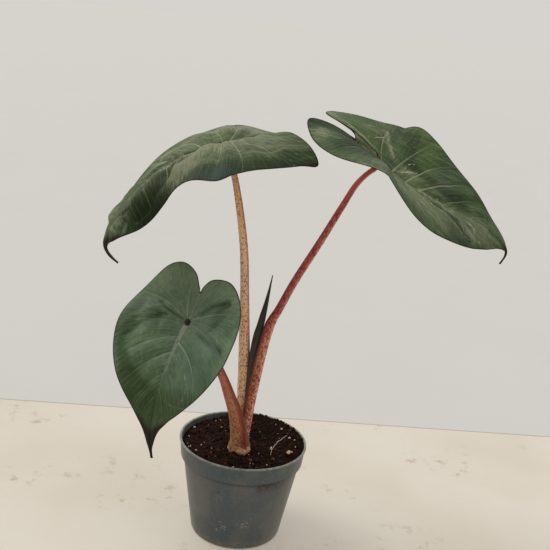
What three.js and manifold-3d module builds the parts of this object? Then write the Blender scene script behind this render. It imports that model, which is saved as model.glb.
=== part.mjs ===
// A young potted alocasia: three shield-shaped leaves on long leaf stalks and one
// leaf still rolled up, standing in the soil of a thin plastic nursery pot.
// Millimetres, +Z up. The origin is the centre of the pot's base, +X points to the
// right of the plant's front view and +Y points to its back.
import * as THREE from 'three';
import Module from 'manifold-3d';

const wasm = await Module();
wasm.setup();

// Driving dimensions
const CLEARANCE = 0.3;

const POT = {
  height: 93,
  rimRadius: 60,
  lipHeight: 2,
  lipOverhang: 0.8,
  collarHeight: 17,
  collarFootRadius: 57.6,
  shoulderRadius: 55.2,
  baseRadius: 43,
  baseCorner: 2.5,
  innerCorner: 2,
  stepHeight: 1,
  wall: 1.2,
  floor: 1.6,
  centrePadRadius: 13,
  footRingRadius: 35,
  recessHeight: 1.2,
  facets: 48,
};
const DRAIN = { count: 8, ringRadius: 27, radius: 4.2, facets: 10 };

const SOIL = {
  level: 86,
  bankedUp: 1.6,
  crumbHeight: 0.55,
  hollow: { at: [-3, -8], depth: 2, radius: 15 },
  rings: 8,
  facets: 40,
};
// The lumps of the soil's top: turns per millimetre along X and Y, a start and a share.
const LUMPS = [
  { x: 0.61, y: 0.53, start: 1.3, share: 1 },
  { x: 0.97, y: -0.71, start: 0, share: 0.6 },
  { x: 0.43, y: 1.31, start: 1.6, share: 0.4 },
];

const BLADE = {
  thickness: 0.9,
  midribDepth: 2.3,
  veinDepth: 0.7,
  quilting: 0.9,
  edgeWave: 0.8,
  dimpleDepth: 1.6,
  dimpleRadius: 6,
  sideVeins: 4,
  forwardVeinAngle: 34,
  veinSweep: 14,
  quietTip: 0.35,
  waveTurn: 2.4,
  seatRadius: 9,
  tipMidrib: 0.15,
};
// Directions of the veins that fan out from the stalk's seat, from the cleft to the
// first side vein, in degrees from the midrib.
const FAN_ANGLES = [180, 152, 120, 90, 62];
const ROWS_PER_VEIN = 4;
// Places across a half blade where the surface has a point, from midrib to margin.
const ACROSS = [0, 0.05, 0.17, 0.32, 0.48, 0.64, 0.79, 0.91, 1];
// Where fold and curl are given along a blade, in blade lengths from the stalk's seat.
const STATIONS = [-0.5, 0, 0.5, 1];

// Each half outline runs from the cleft round the basal lobe to the drip tip, as
// distances out from the midrib and along it. Angles are degrees, and fold and curl have
// one value for each station.
const LEAVES = {
  front: {
    seat: [-57.5, -41.5, 219],
    length: 121,
    heading: -138,
    pitch: -60,
    roll: 8,
    droop: 7,
    droopGrowth: 26,
    backBend: -73,
    sway: -8,
    swayGrowth: -7,
    backSway: 0,
    twist: 7,
    backTwist: 2,
    foldLeft: [-23, 2, 5, 1],
    foldRight: [-15, 11, 21, 5],
    curlLeft: [86, 14, -11, -27],
    curlRight: [14, -19, 39, -17],
    tipLength: 4,
    tipCurl: 10,
    halfRight: [
      [0, -28], [2, -33], [11, -43], [33, -47], [51, -36], [60, -14], [63, 15],
      [52, 42], [32, 71], [10, 96], [3.5, 113], [0, 125],
    ],
    halfLeft: [
      [0, -28], [2, -33], [11, -41], [31, -43], [47, -32], [58, -12], [62, 14],
      [52, 43], [33, 72], [10, 97], [2.5, 113], [0, 125],
    ],
  },
  left: {
    seat: [-40, 6.5, 367],
    length: 144,
    heading: -174,
    pitch: -15,
    roll: -14.5,
    droop: 39,
    droopGrowth: 32,
    backBend: -9,
    sway: -17,
    swayGrowth: -16,
    backSway: -29,
    twist: 17,
    backTwist: 3,
    foldLeft: [-30, -1, -6, -72],
    foldRight: [-10, 43, -4, -2],
    curlLeft: [-81, -134, -94, -73],
    curlRight: [93, -96, 48, -11],
    tipLength: 28,
    tipCurl: 65,
    halfRight: [
      [0, -34], [2, -46], [17, -65], [45, -65], [49, -48], [58, -18], [70, 17],
      [57, 49], [42, 81], [22, 119], [7, 140], [2.2, 150], [1.2, 162], [0, 172],
    ],
    halfLeft: [
      [0, -34], [2, -46], [19, -63], [50, -64], [50, -49], [55, -18], [66, 18],
      [54, 52], [46, 85], [26, 122], [9, 141], [2.2, 150], [1.2, 162], [0, 172],
    ],
  },
  right: {
    seat: [95, 3, 367],
    length: 145,
    heading: -2,
    pitch: -39,
    roll: 7,
    droop: -78,
    droopGrowth: 84,
    backBend: 37,
    sway: -21,
    swayGrowth: 5,
    backSway: 13.5,
    twist: -53,
    backTwist: -17,
    foldLeft: [5, 37, 26, -13],
    foldRight: [-8, 5, 4, -6],
    curlLeft: [0, 0, 0, 0],
    curlRight: [-150, -43, -68, -47],
    tipLength: 18,
    tipCurl: 75,
    halfRight: [
      [0, -30], [1, -44], [12, -73], [32, -66], [48, -45], [61, -21], [69, 11],
      [58, 48], [39, 86], [21, 120], [7, 138], [2.2, 147], [1.2, 155], [0, 163],
    ],
    halfLeft: [
      [0, -30], [11, -36], [18, -63], [35, -60], [48, -43], [54, -18], [69, 12],
      [58, 48], [38, 84], [19, 119], [8, 139], [2.2, 147], [1.2, 155], [0, 163],
    ],
  },
};

// Leaf stalks from the foot of their sheath to the blade. Each station is the centre
// and the half widths across X and Y.
const STALKS = {
  front: [
    { at: [-3, -6, 62], half: [9.4, 8.8] },
    { at: [-3, -6, 86], half: [9.7, 9] },
    { at: [-3.4, -6.6, 97], half: [9.1, 8.2] },
    { at: [-6.2, -8.4, 111], half: [7.7, 6.4] },
    { at: [-9.8, -11.4, 125], half: [6.6, 5] },
    { at: [-16, -16, 142], half: [5.2, 4.3] },
    { at: [-23.3, -21.5, 162], half: [4, 3.8] },
    { at: [-34.5, -29.5, 187], half: [3.2, 3.2] },
    { at: [-46.5, -36.5, 206], half: [2.8, 2.8] },
    { at: [-57.5, -41.5, 219], half: [3, 3] },
  ],
  left: [
    { at: [-5.2, -1.6, 62], half: [3.3, 3.3] },
    { at: [-5.2, -1.6, 90], half: [3.5, 3.5] },
    { at: [-4.6, 1.2, 112], half: [4.8, 4.4] },
    { at: [-4.5, 3, 132], half: [5.4, 5] },
    { at: [-8.2, 5.6, 188], half: [5, 4.6] },
    { at: [-11.6, 6.2, 229], half: [4.2, 4.2] },
    { at: [-16.5, 6.4, 276], half: [3.7, 3.7] },
    { at: [-25.3, 6.5, 320], half: [3.2, 3.2] },
    { at: [-31.4, 6.5, 343], half: [2.8, 2.8] },
    { at: [-40, 6.5, 367], half: [3, 3] },
  ],
  right: [
    { at: [1.2, -5.6, 62], half: [3.3, 3.3] },
    { at: [1.2, -5.6, 90], half: [3.5, 3.5] },
    { at: [1.6, -4.8, 112], half: [4.6, 4.4] },
    { at: [3, -3, 133], half: [4.9, 4.6] },
    { at: [10.6, -0.4, 193], half: [4.5, 4.5] },
    { at: [15, 0.4, 213], half: [4.3, 4.3] },
    { at: [20, 0.8, 224], half: [3.7, 3.7] },
    { at: [31.5, 1.4, 252], half: [3.4, 3.4] },
    { at: [49.8, 2.2, 290], half: [3.2, 3.2] },
    { at: [66.4, 2.8, 326], half: [2.8, 2.8] },
    { at: [76, 3, 346], half: [2.5, 2.5] },
    { at: [84.6, 3, 356.8], half: [2.3, 2.3] },
    { at: [95, 3, 365], half: [2.4, 2.4] },
  ],
};
const ROLLED_LEAF = [
  { at: [-2, -2.8, 93], half: [0.9, 0.9] },
  { at: [-1.2, -1.4, 115], half: [1.7, 1.7] },
  { at: [-0.6, 0.2, 133], half: [2.5, 2.5] },
  { at: [0.6, 1.4, 165], half: [3.4, 3.2] },
  { at: [2.6, 2, 190], half: [3.8, 3.2] },
  { at: [6, 2.2, 213], half: [3.2, 2.7] },
  { at: [9, 2.4, 234], half: [1.7, 1.6] },
  { at: [11.4, 2.4, 256], half: [0.35, 0.35] },
];
const STALK_SIDES = 12;
const STEPS_PER_STATION = 3;
const ROLLED_LEAF_SIDES = 10;

const COLOURS = {
  pot: { color: 0x6f7a78, roughness: 0.55 },
  soil: { color: 0x2a1a14, roughness: 0.95 },
  blade: { color: 0x3f5842, roughness: 0.5 },
  tanStalk: { color: 0xa97f5c, roughness: 0.6 },
  redStalk: { color: 0x8e4238, roughness: 0.55 },
  rolledLeaf: { color: 0x26241f, roughness: 0.5 },
};

const radians = THREE.MathUtils.degToRad;

// A solid from points and triangles, with its faces pointing out.
function toGeometry(points, triangles) {
  const geometry = new THREE.BufferGeometry();
  const flat = points.flatMap((point) => [point.x, point.y, point.z]);
  geometry.setAttribute('position', new THREE.Float32BufferAttribute(flat, 3));
  geometry.setIndex(triangles.flat());
  return geometry;
}

function toManifold(points, triangles) {
  return new wasm.Manifold(new wasm.Mesh({
    numProp: 3,
    vertProperties: new Float32Array(points.flatMap((p) => [p.x, p.y, p.z])),
    triVerts: new Uint32Array(triangles.flat()),
  }));
}

// The largest body of a cut solid, so that no loose scrap stays behind.
function fromManifold(solid) {
  const bodies = solid.decompose().sort((a, b) => b.volume() - a.volume());
  const mesh = bodies[0].getMesh();
  const geometry = new THREE.BufferGeometry();
  geometry.setAttribute('position', new THREE.BufferAttribute(mesh.vertProperties, 3));
  geometry.setIndex(new THREE.BufferAttribute(mesh.triVerts, 1));
  return geometry;
}

// A round or oval tube along a smooth curve through its stations, closed at both ends.
function sweptTube(stations, sides, { grow = 0, extend = 0 } = {}) {
  const centres = stations.map(({ at }) => new THREE.Vector3(...at));
  const curve = new THREE.CatmullRomCurve3(centres, false, 'centripetal');
  const across = new THREE.SplineCurve(stations.map(({ half }) => new THREE.Vector2(...half)));
  const steps = (stations.length - 1) * STEPS_PER_STATION;
  const points = [];
  const triangles = [];
  const sideways = new THREE.Vector3(1, 0, 0);
  for (let i = 0; i <= steps; i += 1) {
    const t = i / steps;
    const along = curve.getTangent(t);
    const centre = curve.getPoint(t);
    if (i === 0) centre.addScaledVector(along, -extend);
    if (i === steps) centre.addScaledVector(along, extend);
    sideways.addScaledVector(along, -sideways.dot(along)).normalize();
    const depthways = new THREE.Vector3().crossVectors(along, sideways);
    const half = across.getPoint(t);
    for (let k = 0; k < sides; k += 1) {
      const turn = (2 * Math.PI * k) / sides;
      points.push(centre.clone()
        .addScaledVector(sideways, (half.x + grow) * Math.cos(turn))
        .addScaledVector(depthways, (half.y + grow) * Math.sin(turn)));
      if (i < steps) {
        const next = (k + 1) % sides;
        const a = i * sides + k;
        const b = i * sides + next;
        triangles.push([a, b, b + sides], [a, b + sides, a + sides]);
      }
    }
  }
  for (let k = 1; k < sides - 1; k += 1) {
    const top = steps * sides;
    triangles.push([0, k + 1, k], [top, top + k, top + k + 1]);
  }
  return { points, triangles };
}

// A blade's curved surface. Leaf coordinates are x across and y along the midrib, both
// in millimetres from the stalk's seat.
class BladeSurface {
  constructor(leaf) {
    this.leaf = leaf;
    const heading = radians(leaf.heading);
    const pitch = radians(leaf.pitch);
    const roll = radians(leaf.roll);
    const forward = new THREE.Vector3(
      Math.cos(pitch) * Math.cos(heading),
      Math.cos(pitch) * Math.sin(heading),
      Math.sin(pitch),
    );
    const level = new THREE.Vector3(Math.sin(heading), -Math.cos(heading), 0);
    const upright = new THREE.Vector3().crossVectors(level, forward);
    const side = level.clone().multiplyScalar(Math.cos(roll))
      .addScaledVector(upright, Math.sin(roll));
    const normal = upright.clone().multiplyScalar(Math.cos(roll))
      .addScaledVector(level, -Math.sin(roll));
    this.frames = this.walkMidrib(forward, side, normal);
  }

  // Bends the midrib step by step, forwards to the tip and backwards to the lobes.
  walkMidrib(forward, side, normal) {
    const { leaf } = this;
    this.step = 1;
    this.start = Math.floor(-0.7 * leaf.length);
    this.count = Math.ceil(leaf.length + leaf.tipLength) - this.start + 2;
    const frames = [];
    for (let i = 0; i < this.count; i += 1) {
      const y = this.start + i * this.step;
      const ahead = Math.min(Math.max(y / leaf.length, 0), 1);
      const behind = Math.max(-y / leaf.length, 0);
      const tip = Math.min(Math.max((y - leaf.length) / leaf.tipLength, 0), 1);
      const rise = radians(
        leaf.backBend * behind - leaf.droop * ahead - leaf.droopGrowth * ahead ** 2
        - leaf.tipCurl * (1 - (1 - tip) ** 2),
      );
      const sway = radians(
        leaf.sway * ahead + leaf.swayGrowth * ahead ** 2 + leaf.backSway * behind,
      );
      const twist = radians(leaf.twist * ahead + leaf.backTwist * behind);
      const along = new THREE.Vector3()
        .addScaledVector(forward, Math.cos(rise) * Math.cos(sway))
        .addScaledVector(normal, Math.sin(rise) * Math.cos(sway))
        .addScaledVector(side, Math.sin(sway));
      const up = normal.clone().multiplyScalar(Math.cos(rise))
        .addScaledVector(forward, -Math.sin(rise));
      up.addScaledVector(along, -up.dot(along)).normalize();
      const across = new THREE.Vector3().crossVectors(along, up);
      frames.push({
        y,
        along,
        across: across.clone().multiplyScalar(Math.cos(twist)).addScaledVector(up, Math.sin(twist)),
        up: up.clone().multiplyScalar(Math.cos(twist)).addScaledVector(across, -Math.sin(twist)),
      });
    }
    const seatIndex = -this.start;
    const place = (from, to, sign) => {
      const middle = frames[from].along.clone().add(frames[to].along).multiplyScalar(0.5);
      frames[to].at = frames[from].at.clone().addScaledVector(middle, sign * this.step);
    };
    frames[seatIndex].at = new THREE.Vector3(...leaf.seat);
    for (let i = seatIndex + 1; i < this.count; i += 1) place(i - 1, i, 1);
    for (let i = seatIndex - 1; i >= 0; i -= 1) place(i + 1, i, -1);
    return frames;
  }

  // A smooth value between the four stations of fold or curl.
  static between(values, u) {
    const place = THREE.MathUtils.clamp(u, STATIONS[0], STATIONS.at(-1));
    const spacing = STATIONS[1] - STATIONS[0];
    const cell = Math.min(Math.floor((place - STATIONS[0]) / spacing), STATIONS.length - 2);
    const t = (place - STATIONS[cell]) / spacing;
    const v = (k) => values[THREE.MathUtils.clamp(cell + k, 0, STATIONS.length - 1)];
    return 0.5 * (2 * v(0) + (v(1) - v(-1)) * t
      + (2 * v(-1) - 5 * v(0) + 4 * v(1) - v(2)) * t ** 2
      + (3 * v(0) - v(-1) - 3 * v(1) + v(2)) * t ** 3);
  }

  // The point at leaf coordinates x and y, lifted off the surface by height.
  point(x, y, height = 0) {
    const { leaf } = this;
    const place = (y - this.start) / this.step;
    const i = Math.min(Math.floor(place), this.count - 2);
    const t = place - i;
    const at = this.frames[i].at.clone().lerp(this.frames[i + 1].at, t);
    const across = this.frames[i].across.clone().lerp(this.frames[i + 1].across, t);
    const up = this.frames[i].up.clone().lerp(this.frames[i + 1].up, t);
    const u = y / leaf.length;
    const right = x >= 0;
    const fold = radians(BladeSurface.between(right ? leaf.foldRight : leaf.foldLeft, u));
    const curl = radians(BladeSurface.between(right ? leaf.curlRight : leaf.curlLeft, u));
    const bend = curl / leaf.length || 1e-7;
    const end = fold + bend * Math.abs(x);
    const outward = (Math.sin(end) - Math.sin(fold)) / bend;
    const raised = -(Math.cos(end) - Math.cos(fold)) / bend;
    return at.addScaledVector(across, right ? outward : -outward)
      .addScaledVector(up, raised + height);
  }
}

// The rows of a half blade: each follows a vein or the hollow between two veins, from
// the midrib or the stalk's seat to the margin. Whole numbers of p are veins.
function bladeRows(leaf, half) {
  const outline = new THREE.SplineCurve(half.map(([x, y]) => new THREE.Vector2(x, y)));
  const margin = outline.getPoints(half.length * 24);
  const tipStart = leaf.length * 0.93;
  const lastVein = leaf.length * 0.87;
  const full = leaf.length + leaf.tipLength;
  const rows = [];
  const addRow = (p, y, angle, sweep) => {
    const facing = (point) => Math.atan2(Math.max(point.x, 0), point.y - y);
    const k = Math.max(margin.findIndex((point) => facing(point) <= radians(angle) + 1e-9), 0);
    const end = margin[k].clone();
    if (k > 0) {
      const before = facing(margin[k - 1]);
      const after = facing(margin[k]);
      end.lerpVectors(margin[k - 1], margin[k], (before - radians(angle)) / (before - after));
    }
    const start = new THREE.Vector2(0, y);
    const reach = start.distanceTo(end) / 2;
    const lead = radians(angle + sweep);
    const knee = new THREE.Vector2(Math.sin(lead) * reach, y + Math.cos(lead) * reach);
    rows.push({ p, y, curve: new THREE.QuadraticBezierCurve(start, knee, end) });
  };
  const fanVeins = FAN_ANGLES.length - 1;
  for (let i = 0; i <= fanVeins * ROWS_PER_VEIN; i += 1) {
    const place = i / ROWS_PER_VEIN;
    const cell = Math.min(Math.floor(place), fanVeins - 1);
    const angle = THREE.MathUtils.lerp(FAN_ANGLES[cell], FAN_ANGLES[cell + 1], place - cell);
    addRow(place - fanVeins, 0, angle, BLADE.veinSweep * Math.sin(radians(angle)));
  }
  for (let i = 1; i <= BLADE.sideVeins * ROWS_PER_VEIN; i += 1) {
    const share = i / (BLADE.sideVeins * ROWS_PER_VEIN);
    const angle = THREE.MathUtils.lerp(FAN_ANGLES[fanVeins], BLADE.forwardVeinAngle, share);
    addRow(i / ROWS_PER_VEIN, lastVein * share ** 1.08, angle, BLADE.veinSweep);
  }
  const tipRows = Math.max(2, Math.round(leaf.tipLength / 4));
  for (let i = 0; i < tipRows; i += 1) {
    const y = THREE.MathUtils.lerp(tipStart, full - 2.5, i / (tipRows - 1));
    addRow(BLADE.sideVeins + 0.5, y, BLADE.forwardVeinAngle, 0);
  }
  return rows;
}

// A blade: its upper face follows the surface with sunken veins, and its underside has
// the midrib and the side veins as ribs.
function bladeMesh(leaf, { above = 0, below = 0 } = {}) {
  const surface = new BladeSurface(leaf);
  const rightRows = bladeRows(leaf, leaf.halfRight);
  const leftRows = bladeRows(leaf, leaf.halfLeft);
  const tops = [];
  const depths = [];
  const ids = new Map();
  const last = rightRows.length - 1;
  const vertex = (sign, i, j) => {
    const row = sign > 0 ? rightRows[i] : leftRows[i];
    const shared = j === 0 || i === 0;
    const key = j === 0 ? `midrib ${row.y.toFixed(3)}` : `${shared ? 0 : sign} ${i} ${j}`;
    if (ids.has(key)) return ids.get(key);
    const share = ACROSS[j];
    const flat = row.curve.getPoint(share);
    const inside = Math.sin(Math.PI * share);
    const fade = THREE.MathUtils.smoothstep(leaf.length - row.y, 0, leaf.length * BLADE.quietTip);
    const between = 0.5 - Math.abs(row.p - Math.round(row.p));
    const vein = (2 * between) * Math.sqrt(1 - share);
    const quilt = BLADE.quilting * inside * fade * (0.5 - 2 * between);
    const wave = BLADE.edgeWave * share ** 3 * fade * Math.sin(BLADE.waveTurn * row.p + sign);
    const toSeat = flat.length();
    const dimple = BLADE.dimpleDepth * Math.max(0, 1 - toSeat / BLADE.dimpleRadius) ** 2;
    const x = shared ? flat.x : sign * flat.x;
    tops.push(surface.point(x, flat.y, quilt + (shared ? 0 : wave) - dimple));
    const toTip = Math.max((leaf.length - row.y) / leaf.length, 0) + BLADE.tipMidrib;
    const onMidrib = j === 0 ? Math.min(1, toTip) : 0;
    const rib = BLADE.midribDepth * Math.max(onMidrib, 1 - toSeat / BLADE.seatRadius);
    const sideRib = j === 0 ? 0 : BLADE.veinDepth * vein * fade;
    depths.push(BLADE.thickness + Math.max(rib, sideRib));
    ids.set(key, tops.length - 1);
    return tops.length - 1;
  };
  const faces = [];
  const addFace = (a, b, c) => {
    if (a !== b && b !== c && a !== c) faces.push([a, b, c]);
  };
  const tip = () => {
    if (!ids.has('tip')) {
      tops.push(surface.point(0, leaf.length + leaf.tipLength));
      depths.push(BLADE.thickness);
      ids.set('tip', tops.length - 1);
    }
    return ids.get('tip');
  };
  for (const sign of [1, -1]) {
    const side = sign > 0 ? addFace : (a, b, c) => addFace(a, c, b);
    for (let j = 0; j < ACROSS.length - 1; j += 1) {
      for (let i = 0; i < last; i += 1) {
        const a = vertex(sign, i, j);
        const b = vertex(sign, i, j + 1);
        const c = vertex(sign, i + 1, j + 1);
        const d = vertex(sign, i + 1, j);
        side(a, b, c);
        side(a, c, d);
      }
      side(vertex(sign, last, j), vertex(sign, last, j + 1), tip());
    }
  }
  return thicken(tops, faces, depths, above, below);
}

// Gives a sheet of triangles an underside along its normals, and closes the margin.
function thicken(tops, faces, depths, above, below) {
  const sheet = toGeometry(tops, faces);
  sheet.computeVertexNormals();
  const normals = sheet.getAttribute('normal');
  const count = tops.length;
  const points = [];
  tops.forEach((top, i) => {
    const normal = new THREE.Vector3().fromBufferAttribute(normals, i);
    points[i] = top.clone().addScaledVector(normal, above);
    points[i + count] = top.clone().addScaledVector(normal, -depths[i] - below);
  });
  const triangles = [];
  const edges = new Map();
  for (const [a, b, c] of faces) {
    triangles.push([a, b, c], [a + count, c + count, b + count]);
    for (const [from, to] of [[a, b], [b, c], [c, a]]) {
      if (!edges.delete(`${to} ${from}`)) edges.set(`${from} ${to}`, [from, to]);
    }
  }
  for (const [from, to] of edges.values()) {
    triangles.push([from, from + count, to + count], [from, to + count, to]);
  }
  return { points, triangles };
}

// The pot's inner wall as radius and height, from the middle of the floor up to the mouth.
function innerWall() {
  const floorTop = POT.recessHeight + POT.floor;
  const collarFoot = POT.height - POT.collarHeight;
  return [
    [0, floorTop],
    [POT.baseRadius - POT.wall - POT.innerCorner, floorTop],
    [POT.baseRadius - POT.wall, floorTop + POT.innerCorner],
    [POT.shoulderRadius - POT.wall, collarFoot - POT.stepHeight / 2 + 0.1],
    [POT.collarFootRadius - POT.wall, collarFoot + POT.stepHeight / 2 + 0.1],
    [POT.rimRadius - POT.lipOverhang - POT.wall, POT.height],
  ];
}

function potSolid() {
  const collarFoot = POT.height - POT.collarHeight;
  const neck = POT.rimRadius - POT.lipOverhang;
  const profile = [
    [0, 0],
    [POT.centrePadRadius, 0],
    [POT.centrePadRadius + 1, POT.recessHeight],
    [POT.footRingRadius, POT.recessHeight],
    [POT.footRingRadius + 1, 0],
    [POT.baseRadius - POT.baseCorner, 0],
    [POT.baseRadius - POT.baseCorner * 0.3, POT.baseCorner * 0.3],
    [POT.baseRadius, POT.baseCorner],
    [POT.shoulderRadius, collarFoot - POT.stepHeight / 2],
    [POT.collarFootRadius, collarFoot],
    [neck, POT.height - POT.lipHeight],
    [POT.rimRadius, POT.height - POT.lipHeight + 0.4],
    [POT.rimRadius, POT.height - 0.5],
    [POT.rimRadius - 0.5, POT.height],
    ...innerWall().reverse(),
  ].map(([radius, z]) => new THREE.Vector2(radius, z));
  let solid = welded(new THREE.LatheGeometry(profile, POT.facets).rotateX(Math.PI / 2));
  for (let i = 0; i < DRAIN.count; i += 1) {
    const turn = (2 * Math.PI * (i + 0.5)) / DRAIN.count;
    const drill = new THREE.CylinderGeometry(DRAIN.radius, DRAIN.radius, 12, DRAIN.facets)
      .rotateX(Math.PI / 2)
      .translate(DRAIN.ringRadius * Math.cos(turn), DRAIN.ringRadius * Math.sin(turn), 0);
    solid = solid.subtract(welded(drill));
  }
  return solid;
}

// A three.js geometry as a solid, its doubled vertices merged.
function welded(geometry) {
  const position = geometry.getAttribute('position');
  const source = geometry.index;
  const points = [];
  const ids = new Map();
  const idOf = (i) => {
    const point = new THREE.Vector3().fromBufferAttribute(position, i);
    const key = point.toArray().map((value) => Math.round(value * 1e4)).join(' ');
    if (!ids.has(key)) {
      ids.set(key, points.length);
      points.push(point);
    }
    return ids.get(key);
  };
  const triangles = [];
  for (let i = 0; i < source.count; i += 3) {
    const [a, b, c] = [0, 1, 2].map((k) => idOf(source.getX(i + k)));
    if (a !== b && b !== c && a !== c) triangles.push([a, b, c]);
  }
  const solid = toManifold(points, triangles);
  if (solid.volume() > 0) return solid;
  return toManifold(points, triangles.map(([a, b, c]) => [a, c, b]));
}

// The soil's uneven top: banked up at the pot's wall, hollow at the stalks, and lumpy.
function soilHeight(x, y) {
  const bank = SOIL.bankedUp * (Math.hypot(x, y) / POT.rimRadius) ** 2;
  const { at, depth, radius } = SOIL.hollow;
  const hollow = depth * Math.exp(-(((x - at[0]) ** 2 + (y - at[1]) ** 2) / radius ** 2));
  const lumps = LUMPS.map((lump) => lump.share * Math.sin(lump.x * x + lump.y * y + lump.start));
  return SOIL.level + bank - hollow + SOIL.crumbHeight * lumps.reduce((sum, h) => sum + h, 0);
}

function soilSolid() {
  const { rings, facets } = SOIL;
  const wall = innerWall();
  const [collarFoot, mouth] = wall.slice(-2);
  const topRadius = -CLEARANCE
    + THREE.MathUtils.mapLinear(SOIL.level, collarFoot[1], mouth[1], collarFoot[0], mouth[0]);
  const points = [new THREE.Vector3(0, 0, soilHeight(0, 0))];
  const addRing = (radius, heightAt) => {
    for (let k = 0; k < facets; k += 1) {
      const turn = (2 * Math.PI * k) / facets;
      const x = radius * Math.cos(turn);
      const y = radius * Math.sin(turn);
      points.push(new THREE.Vector3(x, y, heightAt(x, y)));
    }
  };
  for (let ring = 1; ring <= rings; ring += 1) {
    addRing(topRadius * (ring / rings) ** 0.9, soilHeight);
  }
  const sides = wall.slice(1, -1).reverse();
  sides.forEach(([radius, z]) => addRing(radius - CLEARANCE, () => z + CLEARANCE));
  const ringStart = (ring) => 1 + (ring - 1) * facets;
  const lastRing = rings + sides.length;
  const bottom = ringStart(lastRing);
  const triangles = [];
  for (let k = 0; k < facets; k += 1) {
    const next = (k + 1) % facets;
    triangles.push([0, ringStart(1) + k, ringStart(1) + next]);
    for (let ring = 1; ring < lastRing; ring += 1) {
      const a = ringStart(ring) + k;
      const b = ringStart(ring) + next;
      triangles.push([a, a + facets, b + facets], [a, b + facets, b]);
    }
    if (k > 0 && next > 0) triangles.push([bottom, bottom + next, bottom + k]);
  }
  return toManifold(points, triangles);
}

function tubeSolid(stations, sides, options) {
  const { points, triangles } = sweptTube(stations, sides, options);
  return toManifold(points, triangles);
}

function bladeSolid(leaf, options) {
  const { points, triangles } = bladeMesh(leaf, options);
  return toManifold(points, triangles);
}

const plant = new THREE.Group();

function add(name, geometry, look) {
  geometry.computeVertexNormals();
  const mesh = new THREE.Mesh(geometry, new THREE.MeshStandardMaterial({ ...look, metalness: 0 }));
  mesh.name = name;
  plant.add(mesh);
}

// Stalks clasp each other at the foot: each is cut back round those it wraps.
const roomy = { grow: CLEARANCE, extend: 1 };
const roomRolled = tubeSolid(ROLLED_LEAF, ROLLED_LEAF_SIDES, roomy);
const roomRight = tubeSolid(STALKS.right, STALK_SIDES, roomy);
const roomLeft = tubeSolid(STALKS.left, STALK_SIDES, roomy);
const roomFront = tubeSolid(STALKS.front, STALK_SIDES, roomy);
const seatCut = (leaf) => bladeSolid(leaf, { above: 4, below: CLEARANCE });

const stalkRight = tubeSolid(STALKS.right, STALK_SIDES)
  .subtract(roomRolled)
  .subtract(seatCut(LEAVES.right));
const stalkLeft = tubeSolid(STALKS.left, STALK_SIDES)
  .subtract(roomRolled)
  .subtract(roomRight)
  .subtract(seatCut(LEAVES.left));
const stalkFront = tubeSolid(STALKS.front, STALK_SIDES)
  .subtract(roomRolled)
  .subtract(roomRight)
  .subtract(roomLeft)
  .subtract(seatCut(LEAVES.front));

add('pot', fromManifold(potSolid()), COLOURS.pot);
add('soil', fromManifold(soilSolid().subtract(roomFront)), COLOURS.soil);
add('stalk_front', fromManifold(stalkFront), COLOURS.tanStalk);
add('stalk_left', fromManifold(stalkLeft), COLOURS.tanStalk);
add('stalk_right', fromManifold(stalkRight), COLOURS.redStalk);
add('rolled_leaf', fromManifold(tubeSolid(ROLLED_LEAF, ROLLED_LEAF_SIDES)), COLOURS.rolledLeaf);
add('blade_front', fromManifold(bladeSolid(LEAVES.front)), COLOURS.blade);
add('blade_left', fromManifold(bladeSolid(LEAVES.left)), COLOURS.blade);
add('blade_right', fromManifold(bladeSolid(LEAVES.right)), COLOURS.blade);

export default plant;
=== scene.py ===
"""Looks of a potted alocasia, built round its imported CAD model.

The fine blades, leaf stalks, rolled leaf, pot and soil follow the same named sizes as the
CAD nodes that they replace. Lengths are millimetres until a mesh is made.
"""

import math
from functools import reduce
from itertools import product

import bmesh
import bpy
import numpy as np
from mathutils import Matrix, Vector


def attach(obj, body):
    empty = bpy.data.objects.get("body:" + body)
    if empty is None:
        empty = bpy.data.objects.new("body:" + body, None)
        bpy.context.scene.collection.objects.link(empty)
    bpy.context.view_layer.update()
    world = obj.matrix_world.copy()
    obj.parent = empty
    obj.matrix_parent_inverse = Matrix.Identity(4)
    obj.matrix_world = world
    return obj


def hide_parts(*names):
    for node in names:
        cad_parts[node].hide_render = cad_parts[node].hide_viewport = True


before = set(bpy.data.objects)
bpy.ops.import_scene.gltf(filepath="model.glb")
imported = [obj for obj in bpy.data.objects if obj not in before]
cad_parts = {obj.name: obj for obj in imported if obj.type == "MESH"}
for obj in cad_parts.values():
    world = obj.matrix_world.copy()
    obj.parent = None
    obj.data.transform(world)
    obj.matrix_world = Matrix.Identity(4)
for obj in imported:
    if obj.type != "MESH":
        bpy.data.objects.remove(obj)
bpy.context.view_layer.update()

MM = 0.001
CLEARANCE = 0.3

CAMERA = {
    "at": (13.6, -774.3, 486.0),
    "pitch": 16.46,
    "roll": 6.03,
    "focal_in_widths": 900 / 550,
}

POT = {
    "height": 93,
    "rim_radius": 60,
    "lip_height": 2,
    "lip_overhang": 0.8,
    "collar_height": 17,
    "collar_foot_radius": 57.6,
    "shoulder_radius": 55.2,
    "base_radius": 43,
    "base_corner": 2.5,
    "inner_corner": 2,
    "step_height": 1,
    "wall": 1.2,
    "floor": 1.6,
    "centre_pad_radius": 13,
    "foot_ring_radius": 35,
    "recess_height": 1.2,
    "facets": 192,
}
DRAIN = {"count": 8, "ring_radius": 27, "radius": 4.2, "facets": 40}

SOIL = {
    "level": 86,
    "banked_up": 1.6,
    "crumb_height": 0.55,
    "hollow": (-3, -8, 2, 15),
    "rings": 84,
    "facets": 360,
}
LUMPS = ((0.61, 0.53, 1.3, 1), (0.97, -0.71, 0, 0.6), (0.43, 1.31, 1.6, 0.4))

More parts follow.
